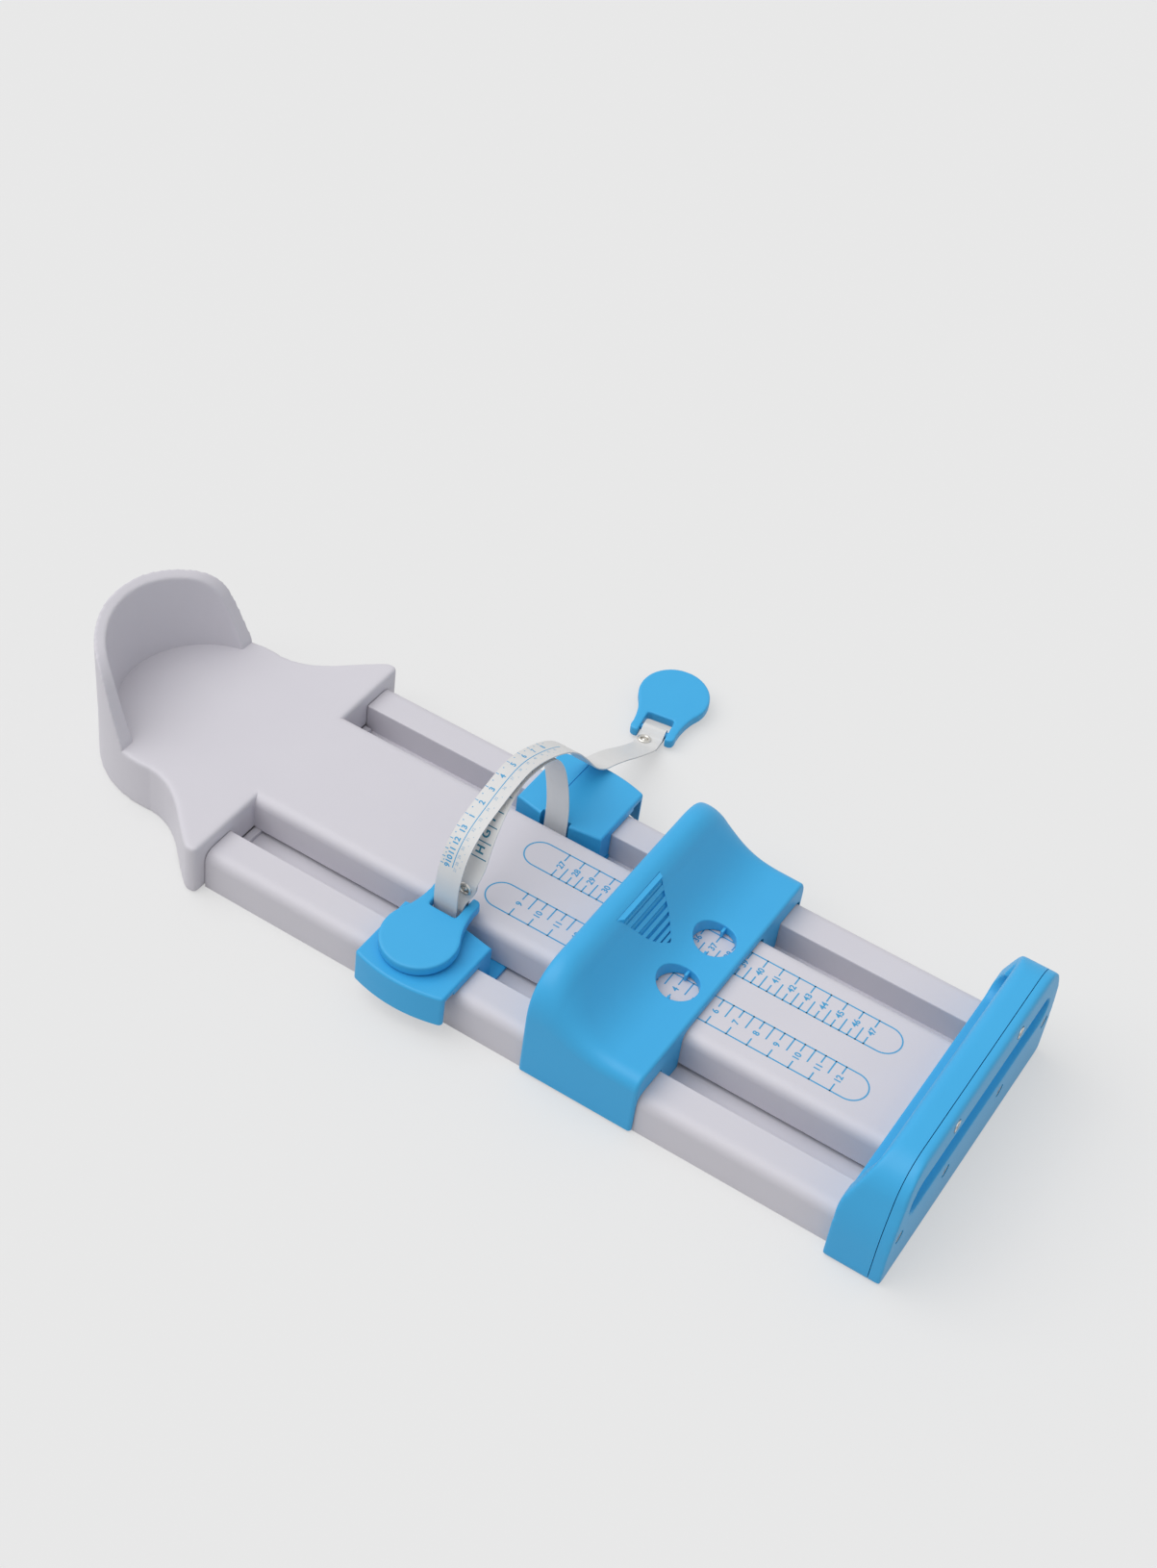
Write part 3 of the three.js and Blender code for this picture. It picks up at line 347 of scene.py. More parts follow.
def cast_soft(piece, grain, passes, share):
    """Rounds every edge as a mould does: an even skin, relaxed, then thinned out."""
    finish_with(piece, "REMESH", mode="VOXEL", voxel_size=grain * MM)
    finish_with(piece, "SMOOTH", factor=0.5, iterations=passes)
    finish_with(piece, "DECIMATE", ratio=share)


def smooth(piece, angle=32):
    """Shades a piece smooth, with its flat faces left flat and its sharp edges sharp."""
    only(piece)
    bpy.ops.object.shade_smooth_by_angle(angle=math.radians(angle))
    finish_with(piece, "WEIGHTED_NORMAL", keep_sharp=True, weight=80)


def heel_outline(inset):
    """Plan of the heel block, drawn smaller by an inset."""
    radius = CUP_OUTER - inset
    end = WING_END - inset
    tip = WING_HALF - inset
    waist = (CUP_X + WAIST_AHEAD, min(WAIST_HALF - inset, radius - 0.3))
    side = [(end, tip - 3.5)]
    side += bend(side[-1], (end, tip), (end - 4.4, tip - 0.8), 6)
    side += sweep(side[-1], (end - 16.4, tip - 9.2), (end - 24.4, waist[1] + 0.9), waist, 20)
    side += arc(CUP_X, 0, radius, math.acos(WAIST_AHEAD / radius), math.pi, 40)
    return side + [(x, -y) for x, y in reversed(side[:-1])]


def plate_section(inset):
    """End view of the foot plate, drawn smaller by an inset."""
    side = PLATE_HALF - inset
    top = PLATE_TOP - inset
    low = 0.0 if inset else PLATE_BOTTOM
    reach = max(4.0 - inset, 0.5) * 1.3
    return rounded([(-side, low), (side, low), (side, top, reach), (-side, top, reach)])


def frustum(name, low_radius, high_radius, low, high):
    """A steep cone round the middle of the cup."""
    piece = add_named(
        bpy.ops.mesh.primitive_cone_add, name, vertices=144, radius1=low_radius * MM,
        radius2=high_radius * MM, depth=(high - low) * MM,
        location=(CUP_X * MM, 0, (low + high) / 2 * MM))
    bpy.ops.object.transform_apply()
    return piece


def cup_wall():
    """The wall round the heel, with its leaning front edges and rounded rim."""
    top = CUP_HEIGHT + 1
    low = PLATE_TOP - 5
    lean = CUP_FLARE / (top - PLATE_TOP + 1)
    outer_top = CUP_OUTER + CUP_FLARE
    outer_low = CUP_OUTER - lean * 4
    inner_top = outer_top - CUP_RIM
    inner_lean = (inner_top - CUP_INNER) / (top - PLATE_TOP)
    inner_low = CUP_INNER - inner_lean * 5
    wall = frustum("cup_wall", outer_low, outer_top, low, top)
    room = frustum("cup_room", inner_low - inner_lean, inner_top + inner_lean, low - 1, top + 1)
    front = CUP_X - 9.0
    side = slab("cup_side", rounded([
        (HEEL_END - 2, low), (front + 1.6, low), (front, PLATE_TOP + 2),
        (front - 12.0, CUP_FRONT_HEIGHT, 9), (HEEL_END - 2, CUP_HEIGHT),
    ], 10), "Y", -50, 50)
    shape_with(wall, "DIFFERENCE", room)
    shape_with(wall, "INTERSECT", side)
    cast_soft(wall, grain=0.55, passes=14, share=0.35)
    return wall


foot_plate = slab("foot_plate_moulding", heel_outline(0), "Z", 0, PLATE_TOP)
cast_soft(foot_plate, grain=0.8, passes=14, share=0.3)
channel = slab("channel", plate_section(0), "X", CUP_X, PLATE_END)
shape_with(foot_plate, "UNION", channel, cup_wall())
under_block = slab("under_block", heel_outline(BLOCK_WALL), "Z", -1, PLATE_TOP - PLATE_WALL)
under_plate = slab("under_plate", plate_section(PLATE_WALL), "X", WING_END - 5, PLATE_END + 1)
doorway = block("doorway", (WING_END - 4, WING_END + 1), (-RAIL_INNER, RAIL_INNER),
                (-1, PLATE_BOTTOM + GAP))
shape_with(foot_plate, "DIFFERENCE", under_block, under_plate, doorway)
smooth(foot_plate)


def moulded(name, low, high, roughness, grain=0.25, scuffs=0.05):
    """Satin injection-moulded plastic: slight clouding of the colour, fine spark grain and faint
    rub marks that only change how the surface shines."""
    finish = Finish(name)
    place = finish.place()
    cloud = finish.noise(place, 26.0, 3.0, 0.55)
    flow = finish.add("ShaderNodeMapping", {"Vector": place, "Scale": (40.0, 520.0, 300.0)})
    rubs = finish.add("ShaderNodeMapRange", {
        "Value": finish.noise(flow, 1.0, 2.0, 0.6), "From Min": 0.62, "From Max": 0.78},
        out="Result", clamp=True)
    spark = finish.noise(place, 1900.0, 2.0, 0.6)
    return finish.surface({
        "Base Color": finish.mix(cloud, (*low, 1.0), (*high, 1.0)),
        "Roughness": cloud * 0.08 + rubs * scuffs + (roughness - 0.04),
        "Normal": finish.relief(spark, grain, 0.00003), "IOR": 1.47, "Specular IOR Level": 0.42})


white_top = moulded("white_satin", (0.630, 0.612, 0.665), (0.662, 0.645, 0.695), 0.46)


def dress(piece, material, body, slot, *nodes):
    """Gives a finished piece its material, its CAD body and the nodes that it stands for."""
    piece.data.materials.clear()
    piece.data.materials.append(material)
    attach(piece, body)
    if nodes:
        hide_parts(*nodes)


dress(foot_plate, white_top, "frame", "plate_plastic", "foot_plate")


# ---- Printed scales -----------------------------------------------------------------------
# Two pad-printed blue scales on the plate, each in a rounded border: continental sizes on the far
# side and the other sizes on the near side, with half sizes on the longer strokes.
INK = 0.05
STROKE = 0.55
BORDER = 0.58
NUMERAL = 2.6
NUMERAL_SHARE = 0.729
BOLD = 0.1
HALF_SIZE_STROKE = 6.9
QUARTER_TURN = Matrix.Rotation(math.pi / 2, 4, "Z")
SCALE_ENDS = (0.05, 147.6)
SIZE_STEP = 20 / 3
THIRD_INCH = 25.4 / 3
FAR_LINES = (6.42, 20.12)
NEAR_LINES = (-6.30, -20.00)


def stadium(left, right, low, high, steps):
    """An outline with half-round ends about two points."""
    radius, middle = (high - low) / 2, (high + low) / 2
    return (arc(right, middle, radius, -math.pi / 2, math.pi / 2, steps)
            + arc(left, middle, radius, math.pi / 2, 1.5 * math.pi, steps))


def border(low, high):
    """A thin line round a scale, with half-round ends."""
    line = slab("border", stadium(*SCALE_ENDS, low, high, 24), "Z", PLATE_TOP, PLATE_TOP + INK)
    inside = slab("inside", stadium(*SCALE_ENDS, low + BORDER, high - BORDER, 24),
                  "Z", PLATE_TOP - 1, PLATE_TOP + 1)
    return shape_with(line, "DIFFERENCE", inside)


def stroke(x, *reach):
    """One printed line across the plate."""
    return block("stroke", (x - STROKE / 2, x + STROKE / 2), sorted(reach),
                 (PLATE_TOP, PLATE_TOP + INK))


def lettering(text, height, thickness, bold):
    """Text as a thin solid that lies flat, centred, with a given height of numeral."""
    label = add_named(bpy.ops.object.text_add, "label")
    label.data.body = text
    label.data.size = height / NUMERAL_SHARE * MM
    label.data.offset = bold * MM
    label.data.extrude = thickness / 2 * MM
    label.data.resolution_u = 4
    bpy.ops.object.convert(target="MESH")
    label = bpy.context.active_object
    edit(label)
    bpy.ops.mesh.remove_doubles(threshold=1e-7)
    bpy.ops.object.mode_set(mode="OBJECT")
    left = min(vertex.co.x for vertex in label.data.vertices)
    right = max(vertex.co.x for vertex in label.data.vertices)
    shift = Vector((-(left + right) / 2, -height / 2 * MM, 0))
    label.data.transform(Matrix.Translation(shift))
    return label


def gather(name, pieces):
    """Makes one piece of several."""
    only(pieces[0])
    for piece in pieces:
        piece.select_set(True)
    bpy.ops.object.join()
    whole = bpy.context.active_object
    whole.name = whole.data.name = name
    return whole


def scale(sizes, last_x, step, lines, strokes, middle):
    """One scale: at each size a stroke from both lines and a numeral, at half sizes a stroke."""
    inner, outer = lines
    way = math.copysign(1, outer - inner)
    pieces = [border(*sorted(lines))]
    for place, size in enumerate(sizes, 1 - len(sizes)):
        x = last_x + place * step
        pieces.append(stroke(x, inner, inner + way * strokes[0]))
        pieces.append(stroke(x, outer, outer - way * strokes[1]))
        label = lettering(str(size), NUMERAL, INK, BOLD)
        label.data.transform(
            Matrix.Translation(Vector((x, middle, PLATE_TOP + INK / 2)) * MM) @ QUARTER_TURN)
        pieces.append(label)
        if place:
            pieces.append(stroke(x + step / 2, inner, inner + way * HALF_SIZE_STROKE))
    return pieces


far_scale = scale(range(27, 48), 142.15, SIZE_STEP, FAR_LINES, (4.0, 4.15), 13.45)
near_scale = scale([*range(9, 14), *range(1, 13)], 142.55, THIRD_INCH, NEAR_LINES,
                   (4.15, 4.05), -12.9)
scale_print = gather("scale_print", far_scale + near_scale)


def ink(name, low, high):
    """Printing ink, a touch uneven."""
    finish = Finish(name)
    patch = finish.noise(finish.place(), 700.0)
    return finish.surface({
        "Base Color": finish.mix(patch, (*low, 1.0), (*high, 1.0)),
        "Roughness": patch * 0.1 + 0.45, "Specular IOR Level": 0.35})


blue_ink = ink("blue_ink", (0.060, 0.330, 0.600), (0.075, 0.375, 0.650))
dress(scale_print, blue_ink, "frame", "plate_plastic")


# ---- Base ---------------------------------------------------------------------------------
# The white base moulding: two hollow rails with one well-rounded outer edge each, joined by a
# floor that runs under the plate, and closed below by a screwed cover.
RAIL_OUTER = 59.6
RAIL_TOP = 17.9
RAIL_WALL = 2.4
FLOOR_TOP = 5.8
FLOOR_LOW = 3.4
SHELF_DEPTH = 3.0
COVER_THICKNESS = 2.1
GROOVE_START = -102.3


def rail(side):
    """End view of a rail, with its outer top edge well rounded."""
    return rounded([(side * RAIL_INNER, 0), (side * RAIL_OUTER, 0),
                    (side * RAIL_OUTER, RAIL_TOP, 5.2), (side * RAIL_INNER, RAIL_TOP, 0.6)])


base = slab("base_moulding", rail(-1), "X", GROOVE_START, PLATE_END)
shape_with(
    base, "UNION",
    slab("far_rail", rail(1), "X", GROOVE_START, PLATE_END),
    block("rail_floor", (GROOVE_START, PLATE_END), (-RAIL_INNER - 1, RAIL_INNER + 1),
          (FLOOR_LOW, FLOOR_TOP)),
    block("shelf", (GROOVE_START, GROOVE_START + SHELF_DEPTH), (-RAIL_INNER + 1, RAIL_INNER - 1),
          (FLOOR_TOP - 1, PLATE_BOTTOM - GAP)),
)
tongue = slab("tongue", heel_outline(BLOCK_WALL + GAP), "Z", FLOOR_LOW, FLOOR_TOP)
neck = block("neck", (WING_END - 5, GROOVE_START + 1),
             (-RAIL_INNER + GAP, RAIL_INNER - GAP), (FLOOR_LOW, FLOOR_TOP))
reach = block("reach", (HEEL_END, WING_END + 2), (-RAIL_INNER + GAP, RAIL_INNER - GAP), (0, 8))
shape_with(tongue, "UNION", neck)
shape_with(tongue, "INTERSECT", reach)
shape_with(base, "UNION", tongue)
hollow_run = (GROOVE_START + RAIL_WALL, PLATE_END + 1)
hollow_half = RAIL_OUTER - RAIL_WALL
for side in (-1, 1):
    near, far, top = side * (RAIL_INNER + RAIL_WALL), side * hollow_half, RAIL_TOP - RAIL_WALL
    shape_with(base, "DIFFERENCE", slab("rail_room", rounded([
        (near, -1), (far, -1), (far, top, 2), (near, top)], 4), "X", *hollow_run))
shape_with(base, "DIFFERENCE", block(
    "cover_seat", hollow_run, (-hollow_half, hollow_half), (-1, COVER_THICKNESS)))
smooth(base)
white_base = moulded("white_base", (0.620, 0.603, 0.655), (0.652, 0.635, 0.685), 0.48)
dress(base, white_base, "frame", "base_plastic", "base_frame")


def carry(material, *names):
    """Gives the CAD's own nodes a finish."""
    for name in names:
        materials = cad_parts[name].data.materials
        materials.clear()
        materials.append(material)


def plated(name, low, high, roughness):
    """Bright plated steel with fine turning marks."""
    finish = Finish(name)
    marks = finish.noise(finish.place(), 2400.0)
    return finish.surface({
        "Base Color": finish.mix(marks, (*low, 1.0), (*high, 1.0)), "Metallic": 1.0,
        "Roughness": marks * 0.12 + roughness, "Normal": finish.relief(marks, 0.2, 0.00004)})


bright_steel = plated("bright_steel", (0.55, 0.53, 0.49), (0.76, 0.74, 0.70), 0.27)
carry(white_base, "base_cover")
carry(bright_steel, *[f"cover_screw_{i}" for i in range(1, 7)],
      *[f"heel_screw_{i}" for i in range(1, 5)])


# ---- Handle -------------------------------------------------------------------------------
# The blue carrying handle closes the toe end: a front half whose top leans back to a narrower
# grip over a ledge, and a back cover that follows it, with a finger slot through both.
HANDLE_HALF = 65.6
HANDLE_TOP_HALF = 59.8
HANDLE_HEIGHT = 53.0
HANDLE_INNER = 168.6
HANDLE_OUTER = 190.8
HANDLE_JOINT = 186.4
LEDGE_HALF = 51.0
LEDGE_HEIGHT = 28.8
GRIP_BAR_FROM = 175.6
SLOT_LOW = 27.0
SLOT_HIGH = 41.0
SLOT_HALF = 55.8
HANDLE_SCREWS = [(-25.5, 47.0), (25.5, 47.0), (-22.0, 18.5), (22.0, 18.5), (-58.8, 21.5),
                 (58.8, 21.5)]
SINK_RADIUS = 2.7
SINK_DEPTH = 1.4
ALONG_X = (0, math.pi / 2, 0)


def post(name, radius, length, place=(0, 0, 0), turn=(0, 0, 0), sides=32):
    """A round post about the middle of its length, in millimetres."""
    piece = add_named(
        bpy.ops.mesh.primitive_cylinder_add, name, vertices=sides, radius=radius * MM,
        depth=length * MM, location=[value * MM for value in place], rotation=turn)
    bpy.ops.object.transform_apply()
    return piece


def half_handle(name, low, high):
    """The whole handle, softened, and then cut down to one of its two halves."""
    whole = slab(name, rounded([
        (-HANDLE_HALF, 0, 2), (HANDLE_HALF, 0, 2), (HANDLE_HALF, 23, 9),
        (HANDLE_TOP_HALF, HANDLE_HEIGHT, 14), (-HANDLE_TOP_HALF, HANDLE_HEIGHT, 14),
        (-HANDLE_HALF, 23, 9)], 10), "X", HANDLE_INNER, HANDLE_OUTER)
    side = slab("handle_side", rounded([
        (HANDLE_INNER, -1), (HANDLE_OUTER + 1, -1), (HANDLE_OUTER + 1, 30), (HANDLE_OUTER, 40),
        (HANDLE_OUTER - 0.8, HANDLE_HEIGHT, 2.5), (HANDLE_INNER + 8.6, HANDLE_HEIGHT, 3),
        (HANDLE_INNER, 30, 3)], 8), "Y", -70, 70)
    set_back = slab("set_back", rounded([
        (-LEDGE_HALF, LEDGE_HEIGHT, 4), (LEDGE_HALF, LEDGE_HEIGHT, 4),
        (LEDGE_HALF + 6, HANDLE_HEIGHT + 3), (-LEDGE_HALF - 6, HANDLE_HEIGHT + 3)], 6),
        "X", HANDLE_INNER - 1, GRIP_BAR_FROM)
    end = SLOT_HALF - (SLOT_HIGH - SLOT_LOW) / 2
    slot = slab("finger_slot", stadium(-end, end, SLOT_LOW, SLOT_HIGH, 16),
                "X", HANDLE_INNER - 1, HANDLE_OUTER + 1)
    shape_with(whole, "INTERSECT", side)
    shape_with(whole, "DIFFERENCE", set_back, slot)
    cast_soft(whole, grain=0.6, passes=16, share=0.3)
    return shape_with(whole, "INTERSECT", block("half", (low, high), (-80, 80), (-5, 80)))


handle_front = half_handle("handle_front_half", HANDLE_INNER - 5, HANDLE_JOINT - GAP)
handle_back = half_handle("handle_back_cover", HANDLE_JOINT, HANDLE_OUTER + 5)
for y, z in HANDLE_SCREWS:
    shape_with(handle_back, "DIFFERENCE",
               post("sink", SINK_RADIUS, 4, (HANDLE_OUTER - SINK_DEPTH + 2, y, z), ALONG_X))
blue_satin = moulded("blue_satin", (0.040, 0.385, 0.735), (0.050, 0.425, 0.790), 0.42)
for half, node in ((handle_front, "handle_front"), (handle_back, "handle_back")):
    smooth(half)
    dress(half, blue_satin, "frame", "blue_plastic", node)
carry(bright_steel, *[f"handle_screw_{i}" for i in range(1, 7)])


# ---- Toe slide ----------------------------------------------------------------------------
# The blue slide that meets the toes: a crest that falls in a long curve to a low deck with two
# reading windows. It rides the plate and both rails, and a keeper bar under it holds it down.
TOE_HEEL = 41.033
TOE_END = 88.433
TOE_HALF = 61.6
TOE_SKIRT = 1.0
TOE_CREST = 50.0
TOE_DECK = 27.6
TOE_WINDOW_X = 75.633
TOE_RUN = (TOE_HEEL - 1, TOE_END + 1)
WINDOW_RADIUS = 8.2
WINDOW_WALL = 1.6
WINDOW_HALF_SPACING = 13.3
LEG_CLEARANCE = 0.5
LEG_BLOCK = (60.7, 68.7), (29.2, 44.2)
TOE_WALL = 2.4
BAR_TOP = 7.8
TOE_RELIEF = 3.4
KEEPER_SEAT = (49.4, 80.1)
POINTER_REACH = (5.6, 9.0)
POINTER_HALF = 0.5
POINTER_DROPS = {1: 0.6, -1: 1.4}
END_ROUND = 1.3


def toe_profile(shrink):
    """Side view of the crest and deck, from the heel edge to the toe edge."""
    low = TOE_DECK - shrink
    crest = TOE_CREST - shrink
    heel = TOE_HEEL + shrink
    end = TOE_END - shrink
    line = [(heel, crest - 4)]
    line += bend(line[-1], (heel + 0.2, crest), (heel + 4, crest), 8)
    line += bend(line[-1], (heel + 8.6, crest + 0.4), (heel + 12.5 - shrink, crest - 6), 8)
    line += sweep(line[-1], (heel + 19 - shrink, crest - 14.5), (heel + 24 - shrink, low + 1),
                  (heel + 36 - shrink, low + 0.3), 24)
    line.append((end - 1.5, low))
    line += bend(line[-1], (end, low), (end, low - 1.5), 5)
    return line


def sheet(name, columns, rows, place):
    """A grid of faces whose points a function places, in millimetres."""
    piece = add_named(bpy.ops.mesh.primitive_grid_add, name,
                      x_subdivisions=columns, y_subdivisions=rows)
    for i, vertex in enumerate(piece.data.vertices):
        row, column = divmod(i, columns + 1)
        vertex.co = Vector(place(row, column)) * MM
    return piece


def loft(name, sections):
    """A closed skin over a row of closed outlines of like count, in millimetres."""
    around = len(sections[0])
    piece = sheet(name, around, len(sections) - 1,
                  lambda row, column: sections[row][column % around])
    edit(piece)
    bpy.ops.mesh.remove_doubles(threshold=1e-6)
    for row in (sections[0], sections[-1]):
        ends = [Vector(point) for point in row]
        pick_edges(piece, lambda edge: edge.is_boundary and all(
            min((vertex.co / MM - end).length for end in ends) < 0.01 for vertex in edge.verts))
        bpy.ops.mesh.edge_face_add()
    face_outwards()
    return piece


def toe_body(name, shrink, low):
    """The slide's shell as sections across it, whose shoulders are fuller at the crest."""
    sections = []
    for x, height in toe_profile(shrink):
        past = max(TOE_HEEL + END_ROUND - x, x - TOE_END + END_ROUND, 0.0)
        trim = END_ROUND - math.sqrt(max(END_ROUND ** 2 - past ** 2, 0.0))
        side = TOE_HALF - shrink - trim
        share = min(max((height - TOE_DECK) / (TOE_CREST - TOE_DECK), 0.0), 1.0)
        reach = 6.0 + 14.8 * share - shrink
        outline = rounded([(-side, low), (side, low), (side, height, reach),
                           (-side, height, reach)], 12)
        sections.append([(x, y, z) for y, z in outline])
    return loft(name, sections)


def tracks():
    """What the slide rides over, drawn larger by its clearance."""
    side = PLATE_HALF + LEG_CLEARANCE
    top = PLATE_TOP + LEG_CLEARANCE
    pieces = [slab("plate_track", rounded([
        (-side, -2), (side, -2), (side, top, 4), (-side, top, 4)], 6), "X", *TOE_RUN)]
    for way in (-1, 1):
        near = way * (RAIL_INNER - LEG_CLEARANCE)
        far = way * (RAIL_OUTER + LEG_CLEARANCE)
        high = RAIL_TOP + LEG_CLEARANCE
        pieces.append(slab("rail_track", rounded([
            (near, -2), (far, -2), (far, high, 4), (near, high)], 6), "X", *TOE_RUN))
    return pieces


def window_post(radius, low, side):
    """A round post through the reading window on one side."""
    high = TOE_CREST + 10
    return post("window_post", radius, high - low,
                (TOE_WINDOW_X, side * WINDOW_HALF_SPACING, (low + high) / 2), sides=64)


# The thumb rest: a shallow pocket, wide at the crest and pointed towards the deck, with a level
# ledge at its wide end and ribs along the rest of it.
THUMB_OUTLINE = [
    (8.7, 11.8), (8.75, -18.4), (10.4, -16.7), (12.6, -14.4), (15.3, -12.0), (17.0, -10.6),
    (19.2, -8.3), (21.2, -5.7), (22.8, -3.4), (23.8, -1.6), (23.5, -0.6), (22.4, 0.9),
    (20.9, 2.7), (19.3, 4.6), (17.6, 6.3), (15.7, 7.5), (12.6, 9.4)]
THUMB_RIBS = [12.2, 14.6, 16.9, 18.9, 20.8, 22.4]
THUMB_DEPTH = 1.4
RIB_WIDTH = 1.1
RIB_DROP = 0.1
LEDGE_RUN = (8.8, 10.8)
LEDGE_TOP = 48.3


def thumb_area(name):
    """The outline of the thumb rest as a post through the slide's face."""
    outline = [(TOE_HEEL + x, y) for x, y in THUMB_OUTLINE]
    return slab(name, outline, "Z", TOE_DECK - 2, TOE_CREST + 3)


def thumb_bar(name, low, high, top):
    """A bar across the thumb rest, between two distances from the heel edge."""
    return block(name, (TOE_HEEL + low, TOE_HEEL + high), (-25, 20), (TOE_DECK, top))


def thumb_ribs():
    """Ribs across the thumb rest that follow the slide's face."""
    ribs = gather("thumb_ribs", [
        thumb_bar("rib", x - RIB_WIDTH / 2, x + RIB_WIDTH / 2, TOE_CREST + 2)
        for x in THUMB_RIBS])
    shape_with(ribs, "INTERSECT", thumb_area("rib_area"), toe_body("face", RIB_DROP, 0))
    return shape_with(ribs, "DIFFERENCE", toe_body("depth", THUMB_DEPTH + 0.4, 0))


toe_slide = toe_body("toe_slide_shell", 0.0, TOE_SKIRT)
pocket = thumb_area("pocket")
shape_with(pocket, "DIFFERENCE", toe_body("pocket_floor", THUMB_DEPTH, 0))
shape_with(toe_slide, "DIFFERENCE", pocket)
ledge = thumb_bar("ledge", *LEDGE_RUN, LEDGE_TOP)
shape_with(ledge, "INTERSECT", thumb_area("ledge_area"))
shape_with(toe_slide, "UNION", thumb_ribs(), ledge)
shape_with(toe_slide, "DIFFERENCE", *tracks())
toe_room = toe_body("toe_room", TOE_WALL, -2)
for way in (-1, 1):
    leg = sorted((way * (PLATE_HALF + LEG_CLEARANCE + TOE_WALL), way * (PLATE_HALF - TOE_WALL)))
    shape_with(toe_room, "DIFFERENCE",
               block("leg", (TOE_HEEL, TOE_END + 1), leg, (-3, 60)),
               block("leg_block", LEG_BLOCK[0], sorted(way * y for y in LEG_BLOCK[1]),
                     (-3, PLATE_TOP)),
               window_post(WINDOW_RADIUS + WINDOW_WALL, 20, way))
shape_with(toe_slide, "DIFFERENCE", toe_room)
for name, run, top in (("foot_cut", TOE_RUN, FLOOR_TOP + GAP),
                       ("relief", (TOE_RUN[0], TOE_HEEL + TOE_RELIEF), BAR_TOP),
                       ("keeper_seat", KEEPER_SEAT, BAR_TOP)):
    shape_with(toe_slide, "DIFFERENCE", block(name, run, (-RAIL_INNER, RAIL_INNER), (-1, top)))
for way in (-1, 1):
    shape_with(toe_slide, "DIFFERENCE", window_post(WINDOW_RADIUS, 10, way))
round_edges(toe_slide, 0.45, 3, lambda ends, turn: (
    turn > math.radians(50) and min(end.z for end in ends) > 27
    and max(math.hypot(end.x - TOE_WINDOW_X, abs(end.y) - WINDOW_HALF_SPACING)
            for end in ends) < WINDOW_RADIUS + 0.05))
for y in (-WINDOW_HALF_SPACING, WINDOW_HALF_SPACING):
    for way in (-1, 1):
        shape_with(toe_slide, "UNION", block(
            "pointer", (TOE_WINDOW_X - POINTER_HALF, TOE_WINDOW_X + POINTER_HALF),
            sorted(y + way * reach for reach in POINTER_REACH),
            (PLATE_TOP + LEG_CLEARANCE, TOE_DECK - POINTER_DROPS[way])))
smooth(toe_slide)
dress(toe_slide, blue_satin, "toe_stop", "blue_plastic", "toe_slide")
carry(blue_satin, "toe_keeper")
carry(bright_steel, "toe_keeper_screw_1", "toe_keeper_screw_2")


# ---- Width carriage -----------------------------------------------------------------------
# Two blue sliders that ride the rails, each bowed outwards and notched for the tape, tied
# together under the plate by a flat crossbar with countersunk screws.
CARRIAGE_X = -8.667
CARRIAGE_HALF = 19.3
FAR_SLIDER_SHIFT = 2.6
SLIDER_TOP = 22.0
SLIDER_LOW = 7.8
SLIDER_OUTER = 67.3
SLIDER_INNER = 35.8
SLIDER_APEX = 32.5
SLIDER_BOW = 6.4
SLIDER_ROOF = 2.2
SKIRT_WALL = 1.8
BOW_WALL = 1.6
NOTCH_HALF = 6.35
NOTCH_DEPTH = 3.3
FAR_NOTCH_SHIFT = -0.8
INDEX_X = CARRIAGE_X - 3.7
INDEX_WIDTH = 0.4
INDEX_DEPTH = 0.35
TAPE_NEAR_X = CARRIAGE_X - 2.85
TAPE_FAR_X = CARRIAGE_X + 2.65


def slider(name, way, middle, notch_x):
    """One slider, with its rail track, its open skirt and its tape notch."""
    heel, toe = middle - CARRIAGE_HALF, middle + CARRIAGE_HALF
    outline = [(heel, way * SLIDER_INNER), (CARRIAGE_X, way * SLIDER_APEX),
               (toe, way * SLIDER_INNER), (toe, way * SLIDER_OUTER)]
    outline += bend(outline[-1], (middle, way * (SLIDER_OUTER + SLIDER_BOW)),
                    (heel, way * SLIDER_OUTER), 20)
    piece = slab(name, outline, "Z", SLIDER_LOW, SLIDER_TOP)
    round_edges(piece, 1.1, 4, lambda ends, turn: (
        turn > math.radians(25)
        and (min(end.z for end in ends) > SLIDER_TOP - 0.01
             or min(abs(end.y) for end in ends) > SLIDER_OUTER - 0.1
             and abs(ends[0].z - ends[1].z) > 5)))
    notch = block("notch", (notch_x - NOTCH_HALF, notch_x + NOTCH_HALF),
                  sorted((0, way * (SLIDER_APEX + NOTCH_DEPTH))), (0, SLIDER_TOP + 1))
    near = way * (RAIL_OUTER + LEG_CLEARANCE)
    far = way * (SLIDER_OUTER - SKIRT_WALL)
    hollow = [(heel - 1, near), (toe + 1, near), (toe + 1, far)]
    hollow += bend(hollow[-1], (middle, way * (SLIDER_OUTER - BOW_WALL + SLIDER_BOW)),
                   (heel - 1, far), 16)
    room = slab("skirt_room", hollow, "Z", 0, SLIDER_TOP - SLIDER_ROOF)
    track = block("slider_track", (heel - 1, toe + 1),
                  sorted((way * (RAIL_INNER - LEG_CLEARANCE), near)),
                  (-2, RAIL_TOP + LEG_CLEARANCE))
    return shape_with(piece, "DIFFERENCE", notch, track, room)


